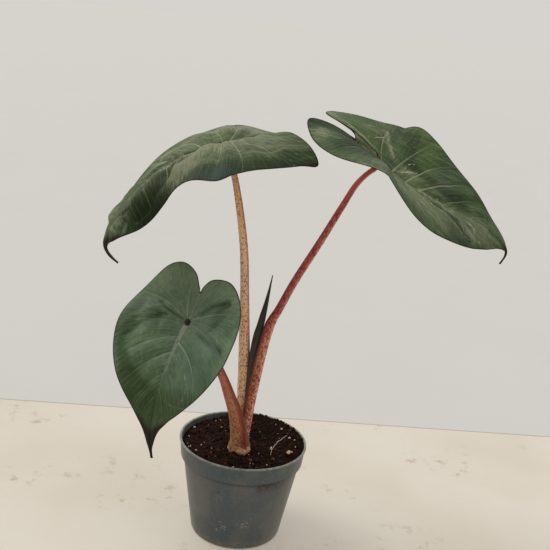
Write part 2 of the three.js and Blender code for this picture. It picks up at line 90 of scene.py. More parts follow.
BLADE = {
    "thickness": 0.9,
    "margin_thickness": 0.5,
    "midrib_depth": 2.3,
    "vein_depth": 0.8,
    "edge_wave": 0.8,
    "dimple_depth": 1.6,
    "dimple_radius": 6,
    "quiet_tip": 0.35,
    "wave_turn": 2.4,
    "seat_radius": 9,
    "tip_midrib": 0.15,
    "rows_per_vein": 20,
    "tip_rows": 46,
    "columns": 58,
}
STATIONS = (-0.5, 0, 0.5, 1)

# Each half outline runs from the cleft round the basal lobe to the drip tip, as distances
# out from the midrib and along it. Fold and curl have one value for each station.
LEAVES = {
    "front": {
        "seat": (-57.5, -41.5, 219), "length": 121, "heading": -138, "pitch": -60, "roll": 8,
        "droop": 7, "droop_growth": 26, "back_bend": -73, "sway": -8, "sway_growth": -7,
        "back_sway": 0, "twist": 7, "back_twist": 2, "fold_left": (-23, 2, 5, 1),
        "fold_right": (-15, 11, 21, 5), "curl_left": (86, 14, -11, -27),
        "curl_right": (14, -19, 39, -17), "tip_length": 4, "tip_curl": 10,
        "half_right": (
            (0, -28), (2, -33), (11, -42), (32, -44.5), (51, -35), (60, -14), (63, 15), (52, 42),
            (32, 71), (10, 96), (3.5, 113), (0, 125),
        ),
        "half_left": (
            (0, -28), (2, -34), (11, -43), (30, -45.5), (47, -33), (58, -12), (62, 14), (52, 43),
            (33, 72), (10, 97), (2.5, 113), (0, 125),
        ),
    },
    "left": {
        "seat": (-40, 6.5, 367), "length": 144, "heading": -174, "pitch": -15, "roll": -14.5,
        "droop": 39, "droop_growth": 32, "back_bend": -9, "sway": -17, "sway_growth": -16,
        "back_sway": -29, "twist": 17, "back_twist": 3, "fold_left": (-30, -1, -6, -72),
        "fold_right": (-10, 43, -4, -2), "curl_left": (-81, -134, -94, -73),
        "curl_right": (93, -96, 48, -11), "tip_length": 28, "tip_curl": 65,
        "half_right": (
            (0, -34), (2, -46), (17, -65), (45, -65), (49, -48), (58, -18), (70, 17), (57, 49),
            (42, 81), (22, 119), (7, 140), (2.2, 150), (1.2, 162), (0, 172),
        ),
        "half_left": (
            (0, -34), (2, -46), (19, -63), (50, -64), (50, -49), (55, -18), (66, 18), (54, 52),
            (46, 85), (26, 122), (9, 141), (2.2, 150), (1.2, 162), (0, 172),
        ),
    },
    "right": {
        "seat": (95, 3, 367), "length": 145, "heading": -2, "pitch": -39, "roll": 7, "droop": -78,
        "droop_growth": 84, "back_bend": 37, "sway": -21, "sway_growth": 5, "back_sway": 13.5,
        "twist": -53, "back_twist": -17, "fold_left": (5, 37, 26, -13),
        "fold_right": (-8, 5, 4, -6), "curl_left": (0, 0, 0, 0),
        "curl_right": (-150, -43, -68, -47), "tip_length": 18, "tip_curl": 75,
        "half_right": (
            (0, -30), (1, -44), (12, -73), (32, -66), (48, -45), (61, -21), (69, 11), (58, 48),
            (39, 86), (21, 120), (7, 138), (2.2, 147), (1.2, 155), (0, 163),
        ),
        "half_left": (
            (0, -30), (11, -36), (18, -63), (35, -60), (48, -43), (54, -18), (69, 12), (58, 48),
            (38, 84), (19, 119), (8, 139), (2.2, 147), (1.2, 155), (0, 163),
        ),
    },
}
# Each stalk's stations from the soil up: its centre, and half its width and depth.
STALKS = {
    "front": (
        ((-3, -6, 62), (9.4, 8.8)), ((-3, -6, 86), (9.7, 9)), ((-3.4, -6.6, 97), (9.1, 8.2)),
        ((-6.2, -8.4, 111), (7.7, 6.4)), ((-9.8, -11.4, 125), (6.6, 5)),
        ((-16, -16, 142), (5.2, 4.3)), ((-23.3, -21.5, 162), (4, 3.8)),
        ((-34.5, -29.5, 187), (3.2, 3.2)), ((-46.5, -36.5, 206), (2.8, 2.8)),
        ((-57.5, -41.5, 219), (3, 3)),
    ),
    "left": (
        ((-5.2, -1.6, 62), (3.3, 3.3)), ((-5.2, -1.6, 90), (3.5, 3.5)),
        ((-4.6, 1.2, 112), (4.8, 4.4)), ((-4.5, 3, 132), (5.4, 5)), ((-8.2, 5.6, 188), (5, 4.6)),
        ((-11.6, 6.2, 229), (4.2, 4.2)), ((-16.5, 6.4, 276), (3.7, 3.7)),
        ((-25.3, 6.5, 320), (3.2, 3.2)), ((-31.4, 6.5, 343), (2.8, 2.8)), ((-40, 6.5, 367), (3, 3)),
    ),
    "right": (
        ((1.2, -5.6, 62), (3.3, 3.3)), ((1.2, -5.6, 90), (3.5, 3.5)),
        ((1.6, -4.8, 112), (4.6, 4.4)), ((3, -3, 133), (4.9, 4.6)), ((10.6, -0.4, 193), (4.5, 4.5)),
        ((15, 0.4, 213), (4.3, 4.3)), ((20, 0.8, 224), (3.7, 3.7)), ((31.5, 1.4, 252), (3.4, 3.4)),
        ((49.8, 2.2, 290), (3.2, 3.2)), ((66.4, 2.8, 326), (2.8, 2.8)), ((76, 3, 346), (2.5, 2.5)),
        ((84.6, 3, 356.8), (2.3, 2.3)), ((95, 3, 365), (2.4, 2.4)),
    ),
}
ROLLED_LEAF = (
    ((-2, -2.8, 93), (0.9, 0.9)), ((-1.2, -1.4, 115), (1.7, 1.7)), ((-0.6, 0.2, 133), (2.5, 2.5)),
    ((0.6, 1.4, 165), (3.4, 3.2)), ((2.6, 2, 190), (3.8, 3.2)), ((6, 2.2, 213), (3.2, 2.7)),
    ((9, 2.4, 234), (1.7, 1.6)), ((11.4, 2.4, 256), (0.35, 0.35)),
)

# The veins of each half blade from the cleft to the tip: the start on the midrib, the end
# at the margin, how far the vein bows back, in its own lengths, and its strength.
VEINS = {
    "front": {
        "right": (
            (0, (18, -44), -0.1, 1), (0, (48, -38), 0.02, 0.5), (0, (61, -6), 0.16, 0.9),
            (3, (60, 26), 0.14, 0.5), (14, (46, 53), 0.16, 0.6), (28.5, (35, 68), 0.1, 1),
            (48, (23, 83), 0.12, 0.5), (68, (13, 94), 0.12, 0.3),
        ),
        "left": (
            (0, (15, -42), 0.04, 0.6), (0, (52, -26), 0.14, 0.9), (0, (61, -2), 0.14, 0.4),
            (1, (61, 18), 0.16, 1), (19, (40, 62), 0.3, 1), (41, (26, 80), 0.14, 0.5),
            (62, (14, 93), 0.12, 0.3),
        ),
    },
    "left": {
        "right": (
            (0, (20, -66), 0.06, 0.9), (0, (50, -46), 0.1, 0.5), (0, (57, -18), 0.1, 1),
            (3, (69, 22), 0.16, 0.6), (20, (58, 48), 0.16, 1), (44, (45, 76), 0.14, 0.7),
            (70, (31, 103), 0.14, 0.6), (95, (18, 126), 0.12, 0.4),
        ),
        "left": (
            (0, (22, -64), 0.06, 0.6), (0, (51, -44), 0.12, 0.9), (0, (59, -8), 0.16, 0.9),
            (3, (66, 24), 0.16, 0.6), (22, (54, 54), 0.16, 0.8), (46, (44, 88), 0.16, 0.8),
            (72, (32, 112), 0.14, 0.6), (97, (18, 131), 0.12, 0.4),
        ),
    },
    "right": {
        "right": (
            (0, (20, -71), 0.05, 0.6), (0, (49, -44), 0.12, 0.8), (0, (63, -12), 0.14, 0.5),
            (4, (67, 26), 0.16, 0.6), (22, (56, 54), 0.16, 0.8), (46, (43, 78), 0.14, 0.7),
            (72, (29, 105), 0.14, 0.6), (98, (16, 126), 0.12, 0.4),
        ),
        "left": (
            (0, (30, -60), -0.06, 1), (0, (50, -38), 0.08, 0.5), (0, (59, -10), 0.16, 1),
            (12, (58, 46), 0.18, 0.9), (27, (46, 74), 0.2, 1), (41, (33, 95), 0.14, 1),
            (68, (23, 112), 0.14, 0.6), (96, (13, 130), 0.12, 0.4),
        ),
    },
}

# What is particular to each blade. Colours are 0-255 values and heights are millimetres.
# The tones differ from blade to blade partly as painted light and shade: lightest on the
# front blade, darkest on the left one. heights, lifts, pale, dark, warm and cool are soft
# patches in leaf coordinates, each with x, y, reach across, reach along, a turn in degrees
# and an amount. pale is partly chalky film and partly painted light and sheen; dark is
# partly darker green and partly painted shade, and deep darkens its strongest places
# further to near black as painted shade; cool is a painted bluish reflection; folds sets
# painted light on fold ridges and painted shade in fold creases. A stroke is a line, its
# width and its shares in height, pale and dark: its pale share is partly chalky film and
# partly painted light on a ridge, and its dark share is painted shade in a crease. A
# scratch is a line.
CHARACTER = {
    "front": {
        "quilting": 1.7, "valley": 0.3, "tip_from": 0.72, "painted_fold_shading": 0, "painted_deep_shade": 0,
        "chalk": 0.16, "scratched": 0.22, "gloss": 0.16,
        "tones": ((63, 85, 60), (87, 107, 78), (109, 123, 100)), "film": (118, 132, 110),
        "vein": (128, 141, 122), "middle": (136, 142, 126), "shade": (42, 60, 30),
        "painted_blue_sheen_tone": (66, 90, 82),
        "heights": (
            (-26, -20, 12, 4, 60, -1.6), (-30, -9, 14, 4, 65, -1.4), (28, 11, 12, 4, -62, -1.3),
            (36, 20, 12, 3, -58, 1), (46, 26, 10, 5, -50, -1.1), (24, 60, 6, 14, -30, -1.3),
            (-36, 20, 6, 16, 35, 1.2), (-24, 34, 6, 14, 30, -0.9),
        ),
        "lifts": (),
        "pale": (
            (6, -34, 16, 12, 0, 0.3), (34, -28, 16, 10, 0, 0.35), (-4, 16, 10, 16, 0, 0.35),
            (-42, -34, 12, 10, 0, 0.6), (50, -32, 14, 10, 0, 0.6), (0, -34, 60, 12, 0, 0.6),
            (12, -8, 22, 10, 0, 0.35),
        ),
        "dark": (
            (-27, -20, 13, 4, 60, 0.8), (-30, -10, 14, 3.5, 65, 0.85), (28, 12, 16, 3, -62, 0.6),
            (46, 28, 13, 5, -55, 0.5), (-38, 24, 20, 40, 0, 0.22), (28, 56, 8, 10, -30, 0.55),
            (22, 72, 12, 16, -20, 0.75), (0, 84, 46, 13, 0, 0.95), (-30, 66, 24, 13, 0, 1),
            (8, 70, 20, 10, 0, 0.8), (-46, 42, 10, 14, 0, 0.5), (56, 14, 7, 26, 0, 0.6),
            (8, 100, 16, 14, 0, 0.5), (52, 22, 9, 28, 0, 0.6), (-50, 12, 8, 24, 0, 0.35),
            (14, 2, 8, 6, 0, 0.35),
        ),
        "warm": ((56, -26, 10, 10, 0, 0.9), (24, -36, 20, 14, 0, 0.4), (0, 70, 30, 14, 0, 0.3)),
        "painted_blue_sheen": ((-30, 26, 26, 34, 0, 0.8), (-8, -10, 24, 16, 0, 0.35)),
        "strokes": (
            (((3, -1), (21.5, -2), (36, -4.8)), 1.4, -0.9, 0, 0.8),
            (((24, 3), (30, 6), (40, 17.7), (46.5, 30.3)), 2.6, -1.8, 0, 0.6),
            (((27, -6), (41, 5), (54, 22)), 3, 1.2, 0.3, 0),
            (((-10, -11), (-18.5, -21.2), (-33.5, -29.1)), 2.6, -1.8, 0, 0.7),
            (((-19.5, 6), (-36, 8.3), (-50, 10.7)), 2.4, -1.6, 0, 0.65),
            (((36, 48), (28, 60), (14, 68)), 5, -1.4, 0, 0.6),
            (((50, 24), (44, 44), (36, 58)), 4.5, -1, 0, 0.5),
            (((4, 18), (18, 26), (34, 44)), 3, 0.9, 0.2, 0),
        ),
        "scratches": (
            ((-34, 70), (-22, 72), (-10, 70)), ((-22, 40), (-30, 52), (-30, 64)),
            ((24, 20), (30, 26), (36, 24)), ((-30, -2), (-40, 0), (-44, 4)),
        ),
    },
    "left": {
        "quilting": 2.4, "valley": 1.2, "tip_from": 0.93, "painted_fold_shading": 0.6,
        "painted_deep_shade": 0.45, "chalk": 0.18, "scratched": 0.25, "gloss": 0.1,
        "tones": ((38, 56, 30), (54, 74, 38), (78, 92, 62)), "film": (130, 133, 108),
        "vein": (138, 140, 112), "middle": (112, 112, 86), "shade": (28, 42, 19),
        "painted_blue_sheen_tone": (48, 68, 64),
        "heights": (
            (-22, 10, 6, 26, 6, 1.6), (-34, 44, 5, 26, 14, 2), (-24, 62, 4, 24, 10, -1.8),
            (-38, 82, 4, 20, 14, 1.6), (-14, 84, 4, 22, 8, 1.4), (-50, 66, 4, 18, 10, -1.4),
            (14, 10, 10, 9, 0, -1.6), (12, -18, 8, 12, 0, -1.4), (26, 40, 5, 16, -30, 1.4),
            (16, 58, 5, 16, -30, -1.4), (-14, -36, 10, 16, 0, 1.8),
        ),
        "lifts": ((-9, -50, 9, 14, 0, 5), (9, -60, 9, 14, 0, -3.5)),
        "pale": (
            (-20, 16, 9, 22, 6, 1), (-24, 42, 26, 34, 0, 0.65), (10, 46, 12, 16, 0, 0.5),
            (-42, 54, 6, 20, 24, 1.1), (-4, 58, 7, 16, 0, 1), (-18, 68, 6, 16, 8, 0.9),
            (32, 48, 18, 14, 0, 0.7), (7, 128, 8, 18, 0, 0.6), (10, -66, 12, 10, 0, 0.5),
            (-18, -34, 9, 24, 0, 0.8), (38, 6, 12, 50, 0, 1), (30, -36, 16, 16, 0, 0.8),
            (-6, 92, 5, 34, 0, 0.9), (-40, 80, 5, 18, 10, 0.7), (24, 66, 6, 24, -20, 0.6),
        ),
        "dark": (
            (-32, 104, 13, 24, 0, 1.1), (-56, -44, 9, 26, 0, 1.1), (-46, 92, 9, 18, 0, 0.7),
            (-24, 64, 5, 22, 12, 0.9), (8, 54, 5, 18, 0, 0.9), (4, 20, 3, 18, 0, 0.7),
            (-58, 6, 14, 56, 0, 0.9), (-30, 104, 26, 34, 0, 0.8), (-44, -44, 22, 30, 0, 0.4),
            (-56, 20, 12, 34, 0, 0.8), (-60, -50, 8, 20, 0, 0.6), (6, -10, 4.5, 28, 0, 1.7),
            (17, 86, 11, 20, 0, 0.8), (-34, 112, 18, 20, 0, 1), (-40, 94, 10, 14, 0, 0.9),
            (-44, -42, 8, 8, 0, 0.7), (-62, 16, 8, 40, 0, 0.7),
        ),
        "warm": ((-4, -52, 8, 16, 20, 1), (-46, 0, 12, 40, 0, 0.25), (14, 10, 10, 9, 0, 0.5)),
        "painted_blue_sheen": ((-60, 14, 9, 20, 0, 1.4),),
        "strokes": (
            (((-6, -34), (-9, -10), (-14, 6), (-22, 20), (-33, 37), (-43, 54)), 5, 4.1, 0.9, 0),
            (
                ((-10, 14), (-19, 30), (-20.5, 55), (-18.5, 77), (-14, 106), (-6, 134)), 3, 3.2,
                0.9, 0,
            ),
            (((-26, 36), (-31, 60), (-28, 90), (-20, 116)), 4, -3.1, 0, 0.9),
            (((-38, 52), (-43, 70), (-38, 92)), 3, 2.4, 0.5, 0),
            (((0, 3), (2, 20), (0, 36), (-5, 50)), 2.6, -3.1, 0, 0.85),
            (((-6, 60), (-7, 86), (-7, 116)), 3.4, -2.4, 0, 0.6),
            (((6, 40), (12, 62), (8, 90), (3, 122)), 3, 2.5, 0.6, 0),
            (((6, 33), (20, 46), (42, 56)), 1.8, -2, 0, 0.7),
            (((24, 66), (14, 92), (6, 120)), 3, 1.7, 0.5, 0),
            (((4, 8), (14, 12), (26, 12)), 4, -2, 0, 0.5),
            (((-22, -20), (-30, -40), (-34, -58)), 2, 1.4, 0.5, 0),
            (((-40, -30), (-46, -46), (-44, -60)), 2, 1.4, 0.5, 0),
        ),
        "scratches": (((-30, -44), (-36, -50), (-44, -54)), ((-34, -38), (-42, -44), (-50, -46))),
    },
    "right": {
        "quilting": 1.1, "valley": 1, "tip_from": 0.98, "painted_fold_shading": 0.5, "painted_deep_shade": 0.4,
        "chalk": 0.7, "scratched": 0.6, "gloss": 0.1,
        "tones": ((43, 62, 36), (60, 82, 42), (82, 98, 64)), "film": (128, 132, 108),
        "vein": (146, 148, 122), "middle": (134, 136, 112), "shade": (30, 46, 24),
        "painted_blue_sheen_tone": (62, 84, 76),
        "heights": (
            (6, -28, 8, 14, 0, -1.6), (-14, 60, 6, 16, -20, 1.2), (18, 70, 7, 26, 10, 1.4),
            (-22, 72, 6, 14, -30, -1), (30, 84, 5, 22, 10, -1.2),
        ),
        "lifts": (),
        "pale": (
            (24, -59, 10, 8, 0, 1), (-50, -10, 12, 12, 0, 0.4), (18, 66, 10, 30, 0, 0.6),
            (10, 112, 12, 20, 0, 0.7), (-10, 30, 8, 16, 0, 0.6), (-16, 62, 8, 12, 0, 0.8),
            (38, 22, 12, 24, 0, 0.8), (-30, -62, 8, 10, 0, 0.9), (-9, -42, 3.5, 22, 0, 1),
        ),
        "dark": (
            (4, -30, 8, 14, 0, 1.1), (-34, 22, 14, 14, 0, 0.7), (-14, 74, 9, 14, 0, 0.9),
            (34, 92, 6, 22, 10, 0.9), (14, 86, 4, 22, 10, 0.7), (-40, 60, 12, 12, 0, 0.5),
            (21, -24, 12, 13, 0, 2.4), (36, -30, 12, 16, 0, 1), (8, -54, 9, 18, 0, 1.7),
            (14, -70, 9, 8, 0, 1), (-10, 6, 8, 14, 0, 0.6), (-34, -34, 22, 26, 0, 0.35),
            (-52, 8, 10, 24, 0, 0.7), (46, 78, 10, 18, 0, 0.7), (22, 118, 8, 10, 0, 0.7),
        ),
        "warm": ((-44, 34, 14, 20, 0, 0.4), (-20, -20, 12, 14, 0, 0.3)),
        "painted_blue_sheen": ((-28, 70, 14, 20, 0, 0.4),),
        "strokes": (
            (((-24, -62), (-15, -38), (-10, -24), (-3, -8)), 1.6, 1.8, 1.4, 0),
            (((-1, 42), (8, 66), (14, 84), (23, 104)), 2.4, 1.1, 0.9, 0),
            (((10, 56), (19, 78), (25, 98)), 2.6, -1.1, 0, 0.9),
            (((4, 14), (14, 32), (28, 50), (36, 66)), 3, 0.8, 0.7, 0),
            (((-20, 25), (-15, 58), (-8, 86)), 6, -1.2, 0, 0.7),
            (((-42, -10), (-32, -5), (-22, 2), (-16, 8)), 1.8, 0.5, 1.3, 0),
            (((-18, 36), (-12, 26), (-7, 20)), 1.6, 0.3, 1.3, 0),
            (((0, 8), (0, 40), (0, 80), (0, 118)), 1.7, 0, 0.9, 0),
            (((20, 30), (32, 44), (42, 62), (40, 80)), 2.6, 0.6, 0.5, 0),
        ),
        "scratches": (
            ((-6, -36), (-16, -24), (-24, -16), (-34, -10)), ((-36, -30), (-40, -18), (-44, -8)),
            ((-18, 36), (-13, 28), (-7, 20), (-4, 12)), ((-24, 30), (-21, 24), (-12, 22)),
            ((4, 30), (12, 50), (18, 66), (22, 84)), ((14, 62), (22, 82), (24, 100)),
            ((-2, 60), (6, 84), (12, 104)), ((26, -62), (20, -56), (24, -50)),
            ((8, 96), (18, 106), (20, 116)),
        ),
    },
}


def srgb(red, green, blue):
    """A colour given as 0-255 values for the shader."""
    def linear(value):
        value /= 255
        return value / 12.92 if value <= 0.04045 else ((value + 0.055) / 1.055) ** 2.4
    return (linear(red), linear(green), linear(blue), 1)


LATTICE = np.random.default_rng(5).uniform(-1, 1, (32, 32, 32))


def noise(points, size, octaves=1):
    """Smooth noise from about -1 to 1 at each point, with lumps of the given size."""
    total = np.zeros(len(points))
    for octave in range(octaves):
        place = points / (size * 0.5**octave) + 11.7 * octave
        cell = np.floor(place).astype(int)
        t = place - cell
        t = t * t * (3 - 2 * t)
        for corner in product((0, 1), repeat=3):
            weight = np.where(corner, t, 1 - t).prod(axis=1)
            i, j, k = ((cell + corner) % len(LATTICE)).T
            total += 0.5**octave * weight * LATTICE[i, j, k]
    return total


def joined(*values):
    """The values side by side, as the columns of one array."""
    return np.stack(values, axis=1)


def smooth(value, low, high):
    """0 up to low, 1 from high on, and a smooth rise between them."""
    t = np.clip((value - low) / (high - low), 0, 1)
    return t * t * (3 - 2 * t)


def cubic(a, b, c, d, t):
    """The Catmull-Rom curve from b to c, with a before them and d after."""
    return 0.5 * (
        2 * b + (c - a) * t + (2 * a - 5 * b + 4 * c - d) * t**2
        + (3 * b - a - 3 * c + d) * t**3
    )


def strip_faces(rows, columns, closed=False, start=0):
    """Triangles between rows of points. Closed rows join their last point to their first."""
    i, k = np.meshgrid(np.arange(rows - 1), np.arange(columns - (not closed)), indexing="ij")
    a = (start + i * columns + k).ravel()
    b = (start + i * columns + (k + 1) % columns).ravel()
    return np.vstack([
        joined(a, b, b + columns), joined(a, b + columns, a + columns)
    ])


def boundary(faces):
    """The edges that only one face has, in that face's direction."""
    edges = np.vstack([faces[:, [0, 1]], faces[:, [1, 2]], faces[:, [2, 0]]])
    _, index, counts = np.unique(
        np.sort(edges, axis=1), axis=0, return_index=True, return_counts=True
    )
    return edges[index[counts == 1]]


def shell_faces(faces, count):
    """Both walls of a thin shell and its rim. The second wall's points follow count points."""
    a, b = boundary(faces).T
    return np.vstack([
        faces, faces[:, ::-1] + count,
        joined(a, a + count, b + count), joined(a, b + count, b),
    ])


def add_object(name, data):
    """A new object in the scene."""
    added = bpy.data.objects.new(name, data)
    bpy.context.scene.collection.objects.link(added)
    return added


def make_piece(name, points, faces, slot, material, replaced=(), corners=None):
    """A mesh object from points in millimetres, riding on the part's one body."""
    mesh = bpy.data.meshes.new(name)
    faces = faces if isinstance(faces, list) else faces.tolist()
    mesh.from_pydata((np.asarray(points) * MM).tolist(), [], faces)
    mesh.polygons.foreach_set("use_smooth", [True] * len(mesh.polygons))
    for key, values in (corners or {}).items():
        attribute = mesh.attributes.new(key, "FLOAT", "CORNER")
        attribute.data.foreach_set("value", np.asarray(values, dtype=np.float32).ravel())
    mesh.materials.append(material)
    piece = add_object(name, mesh)
    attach(piece, "root")
    if replaced:
        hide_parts(*replaced)
    return piece


class Graph:
    """Makes the nodes of a new material, or of a world that is handed in.

    A socket or a plain value serves as any input, and 0-255 values as any colour to mix.
    """

    def __init__(self, holder, shader="Principled BSDF", **inputs):
        self.holder = bpy.data.materials.new(holder) if isinstance(holder, str) else holder
        self.holder.use_nodes = True
        self.tree = self.holder.node_tree
        self.shader = self.tree.nodes[shader]
        self.finish(**inputs)

    def connect(self, socket, value):
        if isinstance(value, bpy.types.NodeSocket):
            self.tree.links.new(value, socket)
        elif value is not None:
            socket.default_value = value

    def finish(self, **inputs):
        for key, value in inputs.items():
            self.connect(self.shader.inputs[key.replace("_", " ")], value)
        return self.holder

    def node(self, kind, inputs, **settings):
        node = self.tree.nodes.new("ShaderNode" + kind)
        for key, value in settings.items():
            setattr(node, key, value)
        for key, value in inputs.items():
            self.connect(node.inputs[key], value)
        return node

    def math(self, operation, a, b=None, clamp=False):
        node = self.node("Math", {0: a, 1: b}, operation=operation, use_clamp=clamp)
        return node.outputs[0]

    def times(self, a, b, clamp=False):
        return self.math("MULTIPLY", a, b, clamp)

    def step(self, value, low, high, start=0, end=1):
        node = self.node(
            "MapRange",
            {"Value": value, "From Min": low, "From Max": high, "To Min": start, "To Max": end},
            interpolation_type="SMOOTHSTEP",
        )
        return node.outputs[0]

    def coat(self, under, tone, mask, *rise):
        """A tone over the colour under it, where the mask is 1 or past the end of its rise."""
        under, tone = (
            value if isinstance(value, bpy.types.NodeSocket) else srgb(*value)
            for value in (under, tone)
        )
        mask = self.step(mask, *rise) if rise else mask
        inputs = {0: mask, 6: under, 7: tone}
        return self.node("Mix", inputs, data_type="RGBA", blend_type="MIX").outputs[2]

    def coats(self, colour, *layers):
        """Several coats on one colour, each as its tone, its mask and perhaps its rise."""
        for layer in layers:
            colour = self.coat(colour, *layer)
        return colour

    def attribute(self, name):
        return self.node("Attribute", {}, attribute_name=name).outputs["Fac"]

    def vector(self, x, y, z=0):
        return self.node("CombineXYZ", {0: x, 1: y, 2: z}).outputs[0]

    def here(self, kind="Object"):
        return self.node("TexCoord", {}).outputs[kind]

    def place(self, scale=(1, 1, 1)):
        return self.node("Mapping", {"Vector": self.here(), "Scale": scale}).outputs[0]

    def part(self, value, index):
        """One of a vector's or a colour's three parts."""
        return self.node("SeparateXYZ", {0: value}).outputs[index]

    def largest(self, *values):
        return reduce(lambda a, b: self.math("MAXIMUM", a, b), values)

    def noise(self, vector, scale, detail=2, roughness=0.5, distortion=0):
        inputs = {
            "Vector": vector, "Scale": scale, "Detail": detail, "Roughness": roughness,
            "Distortion": distortion,
        }
        return self.node("TexNoise", inputs).outputs[0]

    def cells(self, vector, scale, dimensions="3D"):
        """The distance to the nearest cell's middle, and a random rank for that cell."""
        inputs = {"Vector": vector, "Scale": scale, "Randomness": 1}
        cells = self.node("TexVoronoi", inputs, voronoi_dimensions=dimensions)
        return cells.outputs["Distance"], self.part(cells.outputs["Color"], 0)

    def bump(self, height, distance, strength=1, normal=None):
        inputs = {"Height": height, "Distance": distance, "Strength": strength, "Normal": normal}
        return self.node("Bump", inputs).outputs[0]


# Blades


class BladeSurface:
    """A blade's curved surface. Leaf coordinates are x across and y along the midrib, both
    in millimetres from the stalk's seat."""

    def __init__(self, leaf):
        self.leaf = leaf
        length = leaf["length"]
        heading, pitch, roll = (math.radians(leaf[key]) for key in ("heading", "pitch", "roll"))
        forward = np.array([
            math.cos(pitch) * math.cos(heading),
            math.cos(pitch) * math.sin(heading),
            math.sin(pitch),
        ])
        level = np.array([math.sin(heading), -math.cos(heading), 0])
        upright = np.cross(level, forward)
        side = level * math.cos(roll) + upright * math.sin(roll)
        normal = upright * math.cos(roll) - level * math.sin(roll)
        start = math.floor(-0.7 * length)
        count = math.ceil(length + leaf["tip_length"]) - start + 2
        self.y = start + np.arange(count)
        ahead = np.clip(self.y / length, 0, 1)
        behind = np.maximum(-self.y / length, 0)
        tip = np.clip((self.y - length) / leaf["tip_length"], 0, 1)
        rise = np.radians(
            leaf["back_bend"] * behind - leaf["droop"] * ahead - leaf["droop_growth"] * ahead**2
            - leaf["tip_curl"] * (1 - (1 - tip) ** 2)
        )[:, None]
        sway = np.radians(
            leaf["sway"] * ahead + leaf["sway_growth"] * ahead**2 + leaf["back_sway"] * behind
        )[:, None]
        twist = np.radians(leaf["twist"] * ahead + leaf["back_twist"] * behind)[:, None]
        along = np.cos(rise) * np.cos(sway) * forward + np.sin(rise) * np.cos(sway) * normal
        along = along + np.sin(sway) * side
        up = np.cos(rise) * normal - np.sin(rise) * forward
        up = up - (up * along).sum(1)[:, None] * along
        up /= np.linalg.norm(up, axis=1)[:, None]
        across = np.cross(along, up)
        self.across = across * np.cos(twist) + up * np.sin(twist)
        self.up = up * np.cos(twist) - across * np.sin(twist)
        walked = np.vstack([np.zeros(3), np.cumsum(0.5 * (along[1:] + along[:-1]), axis=0)])
        self.at = walked - walked[-start] + np.array(leaf["seat"])

    @staticmethod
    def between(values, u):
        """A smooth value between the four stations of fold or curl."""
        place = np.clip(u, STATIONS[0], STATIONS[-1])
        spacing = STATIONS[1] - STATIONS[0]
        cell = np.minimum(np.floor((place - STATIONS[0]) / spacing), len(STATIONS) - 2).astype(int)
        t = (place - np.array(STATIONS)[cell]) / spacing
        a, b, c, d = (
            np.array(values)[np.clip(cell + k, 0, len(STATIONS) - 1)] for k in (-1, 0, 1, 2)
        )
        return cubic(a, b, c, d, t)

    def points(self, x, y, height):
        """Points at leaf coordinates x and y, lifted off the surface by height."""
        def at(track):
            return np.stack([np.interp(y, self.y, track[:, k]) for k in range(3)], axis=-1)
        leaf = self.leaf
        u = y / leaf["length"]
        right = x >= 0
        fold = np.radians(np.where(
            right, self.between(leaf["fold_right"], u), self.between(leaf["fold_left"], u)
        ))
        curl = np.radians(np.where(
            right, self.between(leaf["curl_right"], u), self.between(leaf["curl_left"], u)
        ))
        bend = np.where(np.abs(curl) < 1e-5, 1e-5, curl) / leaf["length"]
        end = fold + bend * np.abs(x)
        outward = (np.sin(end) - np.sin(fold)) / bend
        raised = -(np.cos(end) - np.cos(fold)) / bend
        outward = np.where(right, outward, -outward)
        return at(self.at) + at(self.across) * outward[:, None] \
            + at(self.up) * (raised + height)[:, None]


def half_outline(half):
    """The margin of a half blade as closely spaced points, and the length up to each."""
    given = np.array(half, float)
    given = np.vstack([given[:1], given, given[-1:]])
    t = np.linspace(0, 1, 40, endpoint=False)[:, None]
    runs = [cubic(*four, t) for four in zip(given, given[1:], given[2:], given[3:])]
    margin = np.vstack([*runs, given[-1:]])
    margin[:, 0] = np.maximum(margin[:, 0], 0)
    steps = np.linalg.norm(np.diff(margin, axis=0), axis=1)
    return margin, np.concatenate([[0], np.cumsum(steps)])


def curve_points(start, end, bow, shares):
    """Points of the vein from start to end that bows back by bow times its length."""
    chord = end - start
    knee = (start + end) / 2 + bow[:, None] * joined(chord[:, 1], -chord[:, 0])
    s = shares[None, :, None]
    return (1 - s) ** 2 * start[:, None] + 2 * s * (1 - s) * knee[:, None] + s**2 * end[:, None]


def smooth_values(values, t):
    """A uniform Catmull-Rom curve through the values, at t from 0 to 1."""
    v = np.array(values, float)
    v = np.vstack([v[:1], v, v[-1:]])
    place = t * (len(values) - 1)
    cell = np.minimum(place.astype(int), len(values) - 2)
    w = (place - cell)[:, None]
    a, b, c, d = (v[cell + k] for k in range(4))
    return cubic(a, b, c, d, w)


def distance_to(points, line):
    """The distance from each point to a line of points."""
    a, b = line[:-1], line[1:]
    run = b - a
    size = np.maximum((run**2).sum(1), 1e-9)
    t = np.clip(((points[:, None] - a) * run).sum(-1) / size, 0, 1)
    return np.sqrt((((points[:, None] - a) - t[..., None] * run) ** 2).sum(-1).min(1))


